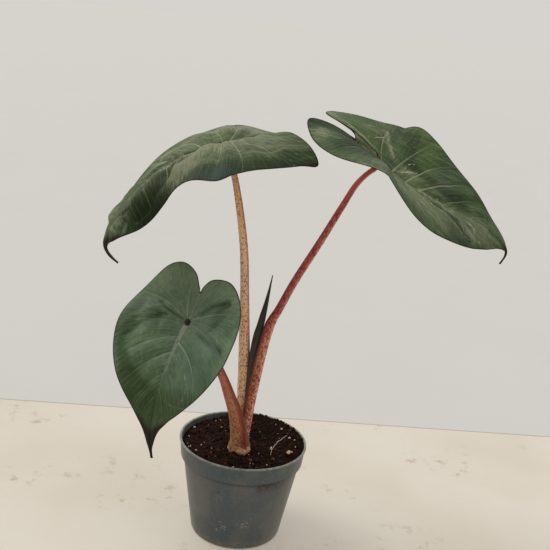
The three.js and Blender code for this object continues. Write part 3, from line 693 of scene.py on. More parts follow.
def half_grid(leaf, half, veins):
    """A half blade's rows, each along a vein or between two veins, as leaf coordinates."""
    margin, reached = half_outline(half)
    full = leaf["length"] + leaf["tip_length"]
    ends = [np.argmin(((margin - np.array(end)) ** 2).sum(1)) for _, end, _, _ in veins]
    stations = {
        "y": [0, *(vein[0] for vein in veins), full - 0.6],
        "s": [0, *(reached[i] for i in ends), reached[-1] - 0.3],
        "bow": [0, *(vein[2] for vein in veins), 0],
        "strength": [0, *(vein[3] for vein in veins), 0],
    }
    last = len(veins)

    def lines_at(places, shares):
        """The stations' values at places along the midrib, and the line that starts there."""
        rows = {
            key: np.interp(places, np.arange(last + 2), values) for key, values in stations.items()
        }
        start = joined(0 * places, rows["y"])
        end = joined(*(np.interp(rows["s"], reached, margin[:, k]) for k in (0, 1)))
        return rows, curve_points(start, end, rows["bow"], shares)

    p = np.concatenate([
        np.linspace(0, last, last * BLADE["rows_per_vein"], endpoint=False),
        np.linspace(last, last + 1, BLADE["tip_rows"]),
    ])
    turn = np.linspace(0, 1, BLADE["columns"])
    shares = 0.6 * turn + 0.4 * (1 - np.cos(np.pi * turn)) / 2
    at, grid = lines_at(p, shares)
    near, minor, gap = (np.zeros(grid.shape[:2]) for _ in range(3))
    for step, target in ((1.0, near), (0.25, minor)):
        places = np.arange(0, last + 1e-6, step)
        _, lines = lines_at(places, np.linspace(0, 1, 30))
        for i, place in enumerate(p):
            low = min(int(place / step + 1e-6), len(places) - 1)
            high = min(low + 1, len(places) - 1)
            to_low = distance_to(grid[i], lines[low])
            to_high = distance_to(grid[i], lines[high])
            target[i] = np.minimum(to_low, to_high)
            if step == 1.0:
                gap[i] = to_low + to_high
    strength = np.array(stations["strength"])[np.rint(np.minimum(p, last)).astype(int)]
    by_row = {"p": p, "row_y": at["y"], "strength": strength}
    return {
        "grid": grid, "vein": near, "minor": minor, "gap": gap,
        "share": np.repeat(shares[None], len(p), 0),
        **{key: np.repeat(row[:, None], len(shares), 1) for key, row in by_row.items()},
    }


def patches(spots, x, y):
    """Soft oval patches in leaf coordinates, summed."""
    total = np.zeros_like(x)
    for at_x, at_y, across, along, turn, amount in spots:
        angle = math.radians(turn)
        dx, dy = x - at_x, y - at_y
        u = (dx * math.cos(angle) + dy * math.sin(angle)) / across
        v = (dy * math.cos(angle) - dx * math.sin(angle)) / along
        total += amount * np.exp(-(u**2 + v**2))
    return total


def strokes(lines, x, y, amount):
    """Soft lines in leaf coordinates, summed. amount picks the height, pale or dark share."""
    total = np.zeros_like(x)
    here = joined(x, y)
    for points, width, *amounts in lines:
        if not amounts[amount]:
            continue
        points = np.array(points, float)
        near = (x > points[:, 0].min() - 3 * width) & (x < points[:, 0].max() + 3 * width) \
            & (y > points[:, 1].min() - 3 * width) & (y < points[:, 1].max() + 3 * width)
        away = distance_to(here[near], smooth_values(points, np.linspace(0, 1, 25)))
        total[near] += amounts[amount] * np.exp(-((away / width) ** 2))
    return total


def blade_mesh(leaf, veins, character):
    """The points, triangles and corner values of a blade with both its faces."""
    length = leaf["length"]
    sides = []
    for sign, key in ((1, "right"), (-1, "left")):
        part = half_grid(leaf, leaf["half_" + key], veins[key])
        part["sign"] = sign
        part["x"] = sign * part["grid"][..., 0]
        part["y"] = part["grid"][..., 1]
        sides.append(part)
    values = {
        key: np.concatenate([part[key].ravel() for part in sides])
        for key in ("x", "y", "p", "share", "row_y", "strength", "vein", "minor", "gap")
    }
    x, y, share = values["x"] + 0.0, values["y"], values["share"]
    sign = np.concatenate([np.full(part["x"].size, part["sign"]) for part in sides])
    fade = smooth(length - values["row_y"], 0, length * BLADE["quiet_tip"])
    inside = np.sin(np.pi * share)
    open_gap = smooth(values["gap"], 3, 14)
    between = np.clip(2 * values["vein"] / np.maximum(values["gap"], 1e-3), 0, 1)
    swell = between**2 * (3 - 2 * between)
    quilt = character["quilting"] * inside**0.7 * open_gap * (swell - 0.4)
    wave = BLADE["edge_wave"] * share**3 * fade * np.sin(BLADE["wave_turn"] * values["p"] + sign)
    to_seat = np.hypot(x, y)
    dimple = BLADE["dimple_depth"] * np.maximum(0, 1 - to_seat / BLADE["dimple_radius"]) ** 2
    groove = values["strength"] * 0.55 * np.exp(-((values["vein"] / 1.1) ** 2)) * open_gap
    groove = groove * (1 - share) ** 0.4
    fine = 0.1 * np.exp(-((values["minor"] / 0.7) ** 2)) * open_gap * inside
    toward_tip = np.clip(y / length, 0, 1)
    across_valley = np.exp(-((x / (2.6 - 1.6 * toward_tip)) ** 2))
    valley = character["valley"] * (1.3 - 0.8 * toward_tip) * across_valley
    valley = np.where(y > 0, valley, 0.3 * np.exp(-((x / 2.0) ** 2)))
    plain = joined(x, y)
    crumple = 0.12 * noise(joined(x, y, 0 * x), 6, 2) * inside
    height = quilt + wave - dimple - groove - fine - valley + crumple
    height = height + patches(character["heights"], x, y) * inside * np.minimum(1, to_seat / 12)
    height = height + patches(character["lifts"], x, y)
    height = height + strokes(character["strokes"], x, y, 0) * np.minimum(1, 5 * (1 - share))

    keys = np.round(plain * 1e3).astype(np.int64)
    _, first, ids = np.unique(keys, axis=0, return_index=True, return_inverse=True)
    ids = ids.ravel()
    count = len(first)
    height = np.bincount(ids, height, count) / np.bincount(ids, minlength=count)
    tops = BladeSurface(leaf).points(x[first], y[first], height)

    corner_ids = []
    offset = 0
    for part in sides:
        triangles = strip_faces(*part["x"].shape, start=offset)
        corner_ids.append(triangles if part["sign"] > 0 else triangles[:, ::-1])
        offset += part["x"].size
    corner_ids = np.vstack(corner_ids)
    faces = ids[corner_ids]
    whole = (faces != np.roll(faces, 1, axis=1)).all(1)
    corner_ids, faces = corner_ids[whole], faces[whole]

    normals = vertex_normals(tops, faces)
    margin_near = np.minimum(1, 3 * (1 - share[first]))
    depth = BLADE["margin_thickness"] \
        + (BLADE["thickness"] - BLADE["margin_thickness"]) * margin_near
    rib = np.maximum((length - y) / length, 0) + BLADE["tip_midrib"]
    rib = BLADE["midrib_depth"] * np.minimum(1, rib) * np.exp(-((x / 1.7) ** 2)) * (y > -2)
    foot = BLADE["midrib_depth"] * np.clip(1 - to_seat / BLADE["seat_radius"], 0, 1)
    side_rib = BLADE["vein_depth"] * values["strength"] * np.exp(-((values["vein"] / 0.8) ** 2))
    side_rib = side_rib * np.sqrt(1 - share) * fade
    below = np.maximum(np.maximum(rib, foot), side_rib)[first]
    bottoms = tops - normals * (depth + below)[:, None]

    top_count = len(faces)
    all_faces = shell_faces(faces, count)
    source = np.vstack([
        corner_ids, corner_ids[:, ::-1], first[all_faces[2 * top_count:] % count]
    ])
    width = (0.30 + 0.75 * values["strength"]) * (1 - 0.75 * share)
    width = np.minimum(width, 0.16 * values["gap"] + 0.12)
    middle = np.interp(y, (-6, 0, 12, 40, 80, length), (0.3, 2.8, 2.3, 1.3, 0.6, 0.3))
    outline = [half_outline(leaf["half_" + key])[0] for key in ("right", "left")]
    outline[1] = outline[1] * (-1, 1)
    to_margin = np.minimum(*(distance_in_parts(plain[first], line[::4]) for line in outline))[ids]
    shown = {
        "vein": np.clip(values["vein"] / np.maximum(width, 0.05), 0, 8),
        "vein_strength": values["strength"],
        "minor": np.clip(values["minor"] / 0.35, 0, 8),
        "middle": np.clip(np.abs(x) / middle, 0, 8),
        "row": values["p"],
        "side": share * sign,
        "margin": to_margin,
        # pale and dark are partly the leaf's own colour and partly painted light and painted shade;
        # cool is painted bluish reflection.
        "pale": patches(character["pale"], x, y) + strokes(character["strokes"], x, y, 1),
        "dark": patches(character["dark"], x, y) + strokes(character["strokes"], x, y, 2),
        "warm": patches(character["warm"], x, y),
        "painted_blue_sheen": patches(character["painted_blue_sheen"], x, y),
        "scratch": strokes([(line, 0.7, 1) for line in character["scratches"]], x, y, 0),
        "seat": to_seat,
        "leaf_x": x,
        "leaf_y": y / length,
    }
    corners = {key: array[source] for key, array in shown.items()}
    under = np.ones((len(all_faces), 3))
    under[:top_count] = 0
    under[2 * top_count:] = 0.5
    corners["under"] = under
    return np.vstack([tops, bottoms]), all_faces, corners


def distance_in_parts(points, line, size=4000):
    """distance_to for many points, a part at a time to save memory."""
    return np.concatenate([
        distance_to(points[i:i + size], line) for i in range(0, len(points), size)
    ])


def vertex_normals(points, faces):
    """The area-weighted normal at each point."""
    a, b, c = (points[faces[:, k]] for k in range(3))
    face_normals = np.cross(b - a, c - a)
    normals = np.zeros_like(points)
    for k in range(3):
        for axis in range(3):
            normals[:, axis] += np.bincount(
                faces[:, k], face_normals[:, axis], len(points)
            )
    return normals / np.maximum(np.linalg.norm(normals, axis=1), 1e-12)[:, None]


def blade_material(name, look):
    chalk, tip_from = look["chalk"], look["tip_from"]
    tones = look["tones"]
    g = Graph(name, Specular_IOR_Level=look["gloss"])
    row, side = g.attribute("row"), g.attribute("side")
    under = g.attribute("under")
    strength = g.attribute("vein_strength")
    streaks = g.noise(g.vector(g.times(row, 5), g.times(side, 1.8)), 2.2, 4)
    lines = g.noise(g.vector(g.times(row, 10), g.times(side, 3.4)), 2.0, 4, 0.6)
    cloud = g.noise(g.place(), 34, 3, 0.55)
    broken = g.noise(g.place(), 90, 3, 0.6)
    grain = g.noise(g.place(), 1100, 2, 0.6)
    uneven = g.step(broken, 0.38, 0.62, 0.15, 1)
    mottle = g.noise(g.place(), 170, 4, 0.65)

    top = g.coats(
        tones[0],
        (tones[1], cloud, 0.36, 0.64),
        (tones[2], streaks, 0.38, 0.68, 0, 0.25),
        (tones[2], mottle, 0.50, 0.66, 0, 0.45),
        (tones[0], mottle, 0.48, 0.34, 0, 0.45),
    )
    # Painted light and shade: long fold lines, lit in the pale tone on their ridges and shaded in
    # the dark tone in their creases.
    far = g.times(g.attribute("leaf_y"), 2.1)
    painted_fold_shading = g.noise(g.vector(g.times(g.attribute("leaf_x"), 0.2), far), 1.7, 4, 0.55, 0.3)
    top = g.coat(top, look["film"], painted_fold_shading, 0.52, 0.66, 0, 0.6 * look["painted_fold_shading"])
    top = g.coat(top, look["shade"], painted_fold_shading, 0.47, 0.35, 0, 0.7 * look["painted_fold_shading"])
    pale_lines = g.times(g.step(lines, 0.50, 0.68, 0, 0.225), uneven)
    top = g.coats(
        top,
        ((108, 114, 86), pale_lines),
        ((26, 40, 24), lines, 0.48, 0.30, 0, 0.25),
        ((86, 100, 42), g.times(g.attribute("warm"), 0.65, True)),
    )
    # Painted reflection: bluish patches of sheen on the blade.
    painted_blue_sheen = g.times(g.attribute("painted_blue_sheen"), 0.5, True)
    # The pale patches and stroke ridges lighten the blade, partly as chalky film and partly as
    # painted light and sheen.
    film = g.times(g.attribute("pale"), g.step(lines, 0.36, 0.62, 0.35, 1.0), True)
    top = g.coat(top, look["film"], g.times(film, 0.72))
    # Painted shade: the dark patches and stroke creases darken the blade, partly as its own darker
    # green; where the patches sum past 1 they turn near black, also as painted shade.
    shade = g.times(g.attribute("dark"), g.step(lines, 0.72, 0.35, 0.6, 1.0), True)
    blotch = g.math("ADD", shade, g.times(g.math("SUBTRACT", mottle, 0.5), 0.9))
    shade = g.math("ADD", g.times(shade, 0.45), g.step(blotch, 0.25, 0.7, 0, 0.42), True)
    top = g.coat(top, look["shade"], shade)
    painted_deep_shade = g.step(g.attribute("dark"), 1.0, 2.2, 0, look["painted_deep_shade"])
    top = g.coat(top, (9, 17, 6), painted_deep_shade)
    top = g.coat(top, look["painted_blue_sheen_tone"], painted_blue_sheen)
    specks = g.noise(g.vector(g.times(row, 16), g.times(side, 9)), 2.6, 5, 0.7)
    specks = g.times(g.step(specks, 0.58, 0.70), g.math("ADD", film, 0.14))
    top = g.coat(top, (188, 186, 164), g.times(specks, chalk, True))
    scratch = g.step(g.attribute("scratch"), 0.4, 1.0, 0, look["scratched"])
    scratch = g.times(scratch, g.step(g.noise(g.place(), 260, 3, 0.7), 0.45, 0.56, 0.1, 1))
    top = g.coat(top, (196, 194, 172), scratch)
    minor = g.step(g.attribute("minor"), 1.6, 0.3, 0, 0.18)
    top = g.coat(top, (116, 124, 92), g.times(minor, uneven))
    vein = g.times(g.step(g.attribute("vein"), 1.25, 0.4), g.math("POWER", strength, 1.6))
    fading = g.step(g.math("ABSOLUTE", side), 0.95, 0.35, 0.08, 0.6)
    vein = g.times(vein, g.step(broken, 0.30, 0.5, 0.6, 1))
    top = g.coat(top, look["vein"], g.times(vein, fading))
    middle = g.step(g.attribute("middle"), 1.2, 0.5)
    middle = g.times(middle, g.step(g.attribute("leaf_y"), 0.62, 0.05, 0.0, 0.75))
    top = g.coat(top, look["middle"], middle)
    top = g.coat(top, (30, 20, 12), g.attribute("seat"), 4.4, 2.2, 0, 0.95)

    low = g.coats(
        (72, 66, 54),
        ((86, 76, 66), streaks, 0.35, 0.7),
        ((134, 104, 92), g.attribute("vein"), 1.9, 0.6, 0, 0.7),
        ((142, 104, 90), g.attribute("middle"), 1.2, 0.6, 0, 0.8),
    )
    colour = g.coat(top, low, under, 0.3, 0.8)
    rim = g.step(g.attribute("margin"), 1.3, 0.3, 0, 0.85)
    colour = g.coat(colour, (34, 24, 20), rim)
    reached = g.math("ADD", g.attribute("leaf_y"), g.step(g.attribute("margin"), 9, 0, 0, 0.1))
    tip = g.step(reached, tip_from + 0.04, tip_from + 0.17, 0, 0.94)
    colour = g.coat(colour, (30, 18, 16), tip)

    rough = g.step(grain, 0.3, 0.7, 0.44, 0.54)
    rough = g.math("ADD", rough, g.times(film, 0.12), True)
    relief = g.bump(lines, 0.0005, 0.6)
    relief = g.bump(streaks, 0.0016, 0.5, relief)
    relief = g.bump(grain, 0.0002, 0.3, relief)
    return g.finish(Base_Color=colour, Roughness=rough, Normal=relief)


for side_name, leaf in LEAVES.items():
    look = CHARACTER[side_name]
    blade_points, blade_faces, blade_corners = blade_mesh(leaf, VEINS[side_name], look)
    make_piece(
        f"fine_blade_{side_name}", blade_points, blade_faces, "blade",
        blade_material(f"blade_{side_name}", look),
        [f"blade_{side_name}"], blade_corners,
    )


# Leaf stalks and the rolled leaf


def smooth_path(centres, t):
    """A centripetal Catmull-Rom curve through the centres, at t from 0 to 1."""
    c = np.array(centres, float)
    c = np.vstack([2 * c[0] - c[1], c, 2 * c[-1] - c[-2]])
    place = t * (len(centres) - 1)
    cell = np.minimum(place.astype(int), len(centres) - 2)
    w = (place - cell)[:, None]
    a, b, d, e = (c[cell + k] for k in range(4))
    gap = [np.linalg.norm(v - u, axis=1)[:, None] ** 0.5 for u, v in ((a, b), (b, d), (d, e))]
    lead = ((b - a) / gap[0] - (d - a) / (gap[0] + gap[1]) + (d - b) / gap[1]) * gap[1]
    trail = ((d - b) / gap[1] - (e - b) / (gap[1] + gap[2]) + (e - d) / gap[2]) * gap[1]
    return b + lead * w + (3 * (d - b) - 2 * lead - trail) * w**2 \
        + (2 * (b - d) + lead + trail) * w**3


def tube(stations, sides, steps, lift, blunt=0.0):
    """Rings of points round a smooth path, and the turn and height of each point.

    lift(turn, z) gives what a point stands off the plain tube. turn is 0 at the front and
    grows to the right. blunt is how far the top stops short of the last station, with a
    round end.
    """
    count = (len(stations) - 1) * steps + 1
    t = np.linspace(0, 1, count)
    centre = smooth_path([at for at, _ in stations], t)
    half = smooth_values([size for _, size in stations], t)
    if blunt:
        run = np.concatenate([[0], np.cumsum(np.linalg.norm(np.diff(centre, axis=0), axis=1))])
        left = run[-1] - run - blunt
        keep = left > 0
        dome = np.sqrt(1 - np.clip(1 - left[keep] / (blunt + 1), 0, 0.96) ** 2)
        centre, half = centre[keep], half[keep] * dome[:, None]
    along = np.gradient(centre, axis=0)
    along /= np.linalg.norm(along, axis=1)[:, None]
    sideways = np.zeros_like(along)
    current = np.array([1.0, 0, 0])
    for i, direction in enumerate(along):
        current = current - current.dot(direction) * direction
        current /= np.linalg.norm(current)
        sideways[i] = current
    depthways = np.cross(along, sideways)
    angle = np.linspace(0, 2 * np.pi, sides, endpoint=False)
    offset = half[:, :1, None] * np.cos(angle)[None, :, None] * sideways[:, None] \
        + half[:, 1:, None] * np.sin(angle)[None, :, None] * depthways[:, None]
    turn = np.arctan2(offset[..., 0], -offset[..., 1])
    z = centre[:, None, 2] + offset[..., 2]
    offset *= (1 + lift(turn, z) / np.linalg.norm(offset, axis=2))[..., None]
    points = centre[:, None] + offset
    rings = len(centre)
    base, last = rings * sides, (rings - 1) * sides
    k = np.arange(sides)
    after = (k + 1) % sides
    faces = np.vstack([
        strip_faces(rings, sides, closed=True),
        joined(0 * k + base, after, k),
        joined(0 * k + base + 1, last + k, last + after),
    ])
    flat = np.vstack([points.reshape(-1, 3), centre[:1], centre[-1:]])
    return {
        "points": flat,
        "faces": faces,
        "turn": np.concatenate([turn.ravel(), [0, 0]]),
        "z": flat[:, 2],
    }


# The free margin of each sheath as height and turn in degrees from the front, how wide the
# red band beside it is, the heights over which it shows, and how far it stands proud.
SHEATHS = {
    "front": {
        "margin": ((80, 38), (91, 43), (101, 50), (112, 66), (122, 74), (134, 82), (170, 96)),
        "band": 60, "shown": (80, 96, 150, 186), "proud": 0.55, "side": 1,
    },
    "left": {
        "margin": ((80, 60), (110, 66), (150, 74), (190, 84), (230, 92)), "band": 26,
        "shown": (92, 110, 186, 200), "proud": 0.5, "side": 1,
    },
    "right": {
        "margin": ((80, -30), (100, -42), (120, -62), (150, -72), (190, -78), (214, -84)),
        "band": 50, "shown": (84, 100, 210, 219), "proud": 0.6, "side": -1,
    },
}


def sheath_lift(sheath):
    """A sheath's free margin: it overlaps what it clasps, with a thin raised lip."""
    heights, turns = zip(*sheath["margin"])

    def lift(turn, z):
        low, full, fading, gone = sheath["shown"]
        shown = smooth(z, low, full) * (1 - smooth(z, fading, gone))
        past = np.degrees(sheath["side"] * (turn - np.radians(np.interp(z, heights, turns))))
        rising, falling = np.exp(-((past + 6) / 9) ** 2), 0.6 * np.exp(-(past / 3) ** 2)
        lip = np.where(past < 0, rising, falling)
        sunk = 0.55 * smooth(past, 0, 6) * (1 - smooth(past, 60, 100))
        ribs = 0.05 * np.sin(22 * turn)
        return sheath["proud"] * shown * (lip - sunk) + ribs
    return lift


def band_beside(sheath, turn, z):
    """How red the sheath is beside its free margin, from 0 to 1."""
    heights, turns = zip(*sheath["margin"])
    low, full, fading, gone = sheath["shown"]
    shown = smooth(z, low, full) * (1 - smooth(z, fading, gone + 12))
    past = np.degrees(sheath["side"] * (turn - np.radians(np.interp(z, heights, turns))))
    return shown * smooth(past, -sheath["band"], -sheath["band"] * 0.25) * (past < 2)


def fleck_mask(g, size, amount):
    """Small dark flecks, longer than wide, over the stalk's unrolled surface."""
    across = g.times(g.attribute("turn"), 4.6)
    along = g.times(g.attribute("z"), 0.62)
    distance, rank = g.cells(g.vector(across, along), 1 / size, "2D")
    reach = g.step(rank, 1 - amount, 1, 0.02, 0.50)
    gap = g.math("SUBTRACT", distance, reach)
    ragged = g.times(g.noise(g.place(), 2600, 2), 0.16)
    return g.step(g.math("ADD", gap, ragged), 0.16, 0.0)


def stalk_material(name, palette):
    g = Graph(name, Specular_IOR_Level=0.4, Sheen_Weight=0.06)
    z, turn = g.attribute("z"), g.attribute("turn")
    streak = g.noise(g.vector(g.times(turn, 5), g.times(z, 0.02)), 2.2, 3)
    cloud = g.noise(g.place((1, 1, 0.4)), 90, 3)
    low, mid, high = palette["body"]
    height = palette["heights"]
    colour = g.coats(
        low,
        (mid, z, height[0], height[1]),
        (high, z, height[2], height[3]),
        (palette["cloud"], cloud, 0.35, 0.7, 0, 0.35),
        (palette["dark"], streak, 0.5, 0.75, 0, palette["streak"]),
    )
    # A colour along each side by its turn; on the red stalk the dark left side is partly painted
    # shade.
    right = g.step(turn, palette["right"][0], palette["right"][1], 0, palette["right"][2])
    colour = g.coat(colour, palette["right_colour"], right)
    left = g.step(turn, palette["left"][0], palette["left"][1], 0, palette["left"][2])
    colour = g.coat(colour, palette["left_colour"], left)
    band = g.times(g.attribute("band"), g.step(streak, 0.2, 0.6, 0.6, 1.0))
    colour = g.coat(colour, palette["band"], g.times(band, 0.92))
    spots = g.noise(g.place((1, 1, 0.55)), 520, 3, 0.6)
    spots = g.times(g.step(spots, 0.47, 0.58), palette["mottle"])
    colour = g.coat(colour, palette["dark"], g.times(spots, g.step(z, 350, 320)))
    flecks = fleck_mask(g, palette["fleck_size"], palette["fleck_amount"])
    fine_flecks = fleck_mask(g, palette["fleck_size"] * 0.55, palette["fleck_amount"] * 0.6)
    flecks = g.math("MAXIMUM", flecks, g.times(fine_flecks, 0.7))
    fading = g.step(z, palette["fleck_top"][0], palette["fleck_top"][1], 1, palette["fleck_top"][2])
    flecks = g.times(g.times(flecks, fading), 0.85)
    colour = g.coat(colour, palette["fleck"], flecks)
    dust = g.noise(g.place(), 500, 4, 0.7)
    colour = g.coat(colour, g.coat((122, 84, 62), (190, 140, 108), dust), z, 94, 85, 0, 0.7)
    rough = g.step(cloud, 0.3, 0.7, 0.42, 0.56)
    relief = g.bump(streak, 0.0008, 0.4)
    relief = g.bump(dust, 0.0003, 0.35, relief)
    return g.finish(Base_Color=colour, Roughness=rough, Normal=relief)


TAN = {
    "body": ((200, 152, 116), (244, 204, 160), (236, 190, 134)),
    "heights": (90, 130, 250, 330),
    "cloud": (220, 172, 128),
    "mottle": 0.12,
    "dark": (172, 112, 84),
    "streak": 0.45,
    "right": (0.35, 1.25, 0.85),
    "right_colour": (186, 82, 70),
    "left": (-1.0, -1.6, 0.35),
    "left_colour": (230, 200, 164),
    "band": (112, 34, 32),
    "fleck": (112, 52, 38),
    "fleck_size": 1.35,
    "fleck_amount": 0.72,
    "fleck_top": (330, 366, 0.6),
}
FRONT = {
    **TAN,
    "body": ((200, 146, 106), (194, 132, 92), (196, 116, 88)),
    "heights": (90, 120, 130, 160),
    "cloud": (170, 106, 70),
    "mottle": 0.3,
    "dark": (140, 66, 46),
    "right": (0.3, 1.1, 0.8),
    "right_colour": (126, 38, 32),
    "left": (-0.9, -1.5, 0.4),
    "left_colour": (214, 162, 130),
    "band": (98, 24, 20),
    "fleck": (128, 46, 34),
    "fleck_amount": 0.7,
    "fleck_top": (150, 200, 0.6),
}
RED = {
    **TAN,
    "body": ((204, 150, 106), (208, 140, 96), (192, 88, 72)),
    "heights": (104, 150, 180, 226),
    "cloud": (172, 78, 58),
    "mottle": 0.62,
    "dark": (116, 30, 28),
    "streak": 0.55,
    "right": (0.1, 1.0, 0.9),
    "right_colour": (236, 166, 144),
    # The dark red left side is partly painted shade.
    "left": (0.0, -1.2, 0.5),
    "left_colour": (130, 34, 32),
    "band": (92, 24, 26),
    "fleck": (98, 22, 18),
    "fleck_size": 1.8,
    "fleck_amount": 1.0,
    "fleck_top": (322, 352, 0.2),
}


def add_stalk(side_name, slot, palette):
    sheath = SHEATHS[side_name]
    made = tube(STALKS[side_name], 96, 26, sheath_lift(sheath), blunt=3.4)
    band = band_beside(sheath, made["turn"], made["z"])
    faces = made["faces"]
    corners = {"z": made["z"][faces], "band": band[faces], "turn": unwrapped(made["turn"][faces])}
    make_piece(
        f"fine_stalk_{side_name}", made["points"], faces, slot,
        stalk_material(f"stalk_{side_name}", palette), [f"stalk_{side_name}"], corners,
    )


def unwrapped(turns):
    """Turns of each face's corners without the jump from half a turn to minus half."""
    turns = turns.copy()
    jump = turns.max(1) - turns.min(1) > np.pi
    turns[jump] = np.where(turns[jump] < 0, turns[jump] + 2 * np.pi, turns[jump])
    return turns


add_stalk("front", "stalk_tan", FRONT)
add_stalk("left", "stalk_tan", TAN)
add_stalk("right", "stalk_red", RED)


def foot_tissue():
    """The torn papery foot of the old sheaths round the column, as a thin closed band."""
    stations = STALKS["front"]
    heights = [at[2] for at, _ in stations]
    columns, rows = 180, 14
    turn = np.linspace(math.radians(-150), math.radians(150), columns)
    edge = joined(np.cos(turn) * 6, np.sin(turn) * 6, 0 * turn)
    top = 90.0 + 3.0 * noise(edge, 2.2, 2) + 2.4 * np.abs(noise(edge + 30, 0.8, 2))
    t = np.linspace(0, 1, rows)[:, None]
    z = 80 + t * (top[None] - 80)
    wrinkled = np.stack(np.broadcast_arrays(*edge.T[:2, None], z * 0.3), axis=-1)
    ripple = 0.5 * noise(wrinkled.reshape(-1, 3), 1.6, 2).reshape(z.shape)
    lobes = 0.8 + 2.6 * np.exp(-((turn - 0.45) / 0.34) ** 2)
    lobes = lobes + 1.3 * np.exp(-((turn + 0.95) / 0.3) ** 2)
    flare = lobes * np.clip((90.5 - z) / 5.5, 0, 1) ** 1.5
    walls = []
    for gap in (0.6, 0.2):
        out = [
            np.interp(z, heights, [size[k] for _, size in stations]) + gap + flare + ripple
            for k in (0, 1)
        ]
        middle = [np.interp(z, heights, [at[k] for at, _ in stations]) for k in (0, 1)]
        x = middle[0] + out[0] * np.sin(turn)
        y = middle[1] - out[1] * np.cos(turn)
        walls.append(np.stack([x, y, z], axis=-1).reshape(-1, 3))
    faces = shell_faces(strip_faces(rows, columns), rows * columns)
    points = np.vstack(walls)
    return points, faces, {"z": points[:, 2][faces]}


def foot_material():
    g = Graph("foot_tissue", Specular_IOR_Level=0.2, Roughness=0.75)
    fibres = g.noise(g.place((1, 1, 0.22)), 900, 4, 0.65)
    dust = g.noise(g.place(), 420, 4, 0.7)
    colour = g.coats(
        (172, 116, 84),
        ((218, 172, 138), fibres, 0.35, 0.68),
        ((194, 138, 100), g.attribute("z"), 87, 92, 0, 0.7),
        ((98, 56, 40), dust, 0.52, 0.68, 0, 0.7),
        ((70, 42, 30), g.attribute("z"), 88, 84.5, 0, 0.8),
    )
    return g.finish(Base_Color=colour, Normal=g.bump(fibres, 0.0008, 0.7))


tissue_points, tissue_faces, tissue_corners = foot_tissue()
make_piece("foot_tissue", tissue_points, tissue_faces, "stalk_tan", foot_material(), (),
           tissue_corners)


def rolled_lift(turn, z):
    """The free edge of the rolled blade winds up the spike."""
    winding = np.mod(turn - 0.055 * z, 2 * np.pi)
    return 0.35 * np.exp(-winding / 0.9) - 0.12 + 0.04 * np.sin(16 * winding)


def rolled_material():
    g = Graph("rolled_leaf", Specular_IOR_Level=0.45, Roughness=0.42)
    z, turn = g.attribute("z"), g.attribute("turn")
    streak = g.noise(g.vector(g.times(turn, 7), g.times(z, 0.03)), 2.4, 3)
    colour = g.coats(
        (62, 62, 48),
        ((38, 34, 30), z, 130, 200),
        ((74, 78, 62), streak, 0.4, 0.72, 0, 0.5),
        ((24, 20, 20), turn, 0.2, 1.3, 0, 0.4),
    )
    return g.finish(Base_Color=colour, Normal=g.bump(streak, 0.0008, 0.5))


made = tube(ROLLED_LEAF, 64, 22, rolled_lift)
made_corners = {"z": made["z"][made["faces"]], "turn": unwrapped(made["turn"][made["faces"]])}
make_piece("fine_rolled_leaf", made["points"], made["faces"], "rolled_leaf", rolled_material(),
           ["rolled_leaf"], made_corners)


# Pot


def inner_wall():
    """The pot's inner wall as radius and height, from the middle of the floor to the mouth."""
    floor_top = POT["recess_height"] + POT["floor"]
    collar_foot = POT["height"] - POT["collar_height"]
    return [
        (0, floor_top),
        (POT["base_radius"] - POT["wall"] - POT["inner_corner"], floor_top),
        (POT["base_radius"] - POT["wall"], floor_top + POT["inner_corner"]),
        (POT["shoulder_radius"] - POT["wall"], collar_foot - POT["step_height"] / 2 + 0.1),
        (POT["collar_foot_radius"] - POT["wall"], collar_foot + POT["step_height"] / 2 + 0.1),
        (POT["rim_radius"] - POT["lip_overhang"] - POT["wall"], POT["height"]),
    ]


def eased(profile, radius):
    """A profile with its corners rounded and its long runs divided."""
    given = np.array(profile, float)
    out = [given[0]]
    for before, corner, after in zip(given, given[1:], given[2:]):
        to_before, to_after = before - corner, after - corner
        sizes = [np.linalg.norm(run) for run in (to_before, to_after)]
        reach = [min(radius, 0.4 * size) / size for size in sizes]
        a, b = corner + to_before * reach[0], corner + to_after * reach[1]
        for s in (0, 0.25, 0.5, 0.75, 1):
            out.append((1 - s) ** 2 * a + 2 * s * (1 - s) * corner + s**2 * b)
    out.append(given[-1])
    longest = 4.0
    divided = []
    for a, b in zip(out, out[1:]):
        parts = max(1, round(np.linalg.norm(b - a) / longest))
        divided.extend(a + (b - a) * k / parts for k in range(parts))
    divided.append(out[-1])
    return np.array(divided)


def pot_profile():
    collar_foot = POT["height"] - POT["collar_height"]
    neck = POT["rim_radius"] - POT["lip_overhang"]
    corner = POT["base_corner"]
    return [
        (0, 0),
        (POT["centre_pad_radius"], 0),
        (POT["centre_pad_radius"] + 1, POT["recess_height"]),
        (POT["foot_ring_radius"], POT["recess_height"]),
        (POT["foot_ring_radius"] + 1, 0),
        (POT["base_radius"] - corner, 0),
        (POT["base_radius"] - corner * 0.3, corner * 0.3),
        (POT["base_radius"], corner),
        (POT["shoulder_radius"], collar_foot - POT["step_height"] / 2),
        (POT["collar_foot_radius"], collar_foot),
        (neck, POT["height"] - POT["lip_height"]),
        (POT["rim_radius"], POT["height"] - POT["lip_height"] + 0.4),
        (POT["rim_radius"], POT["height"]),
        *reversed(inner_wall()),
    ]


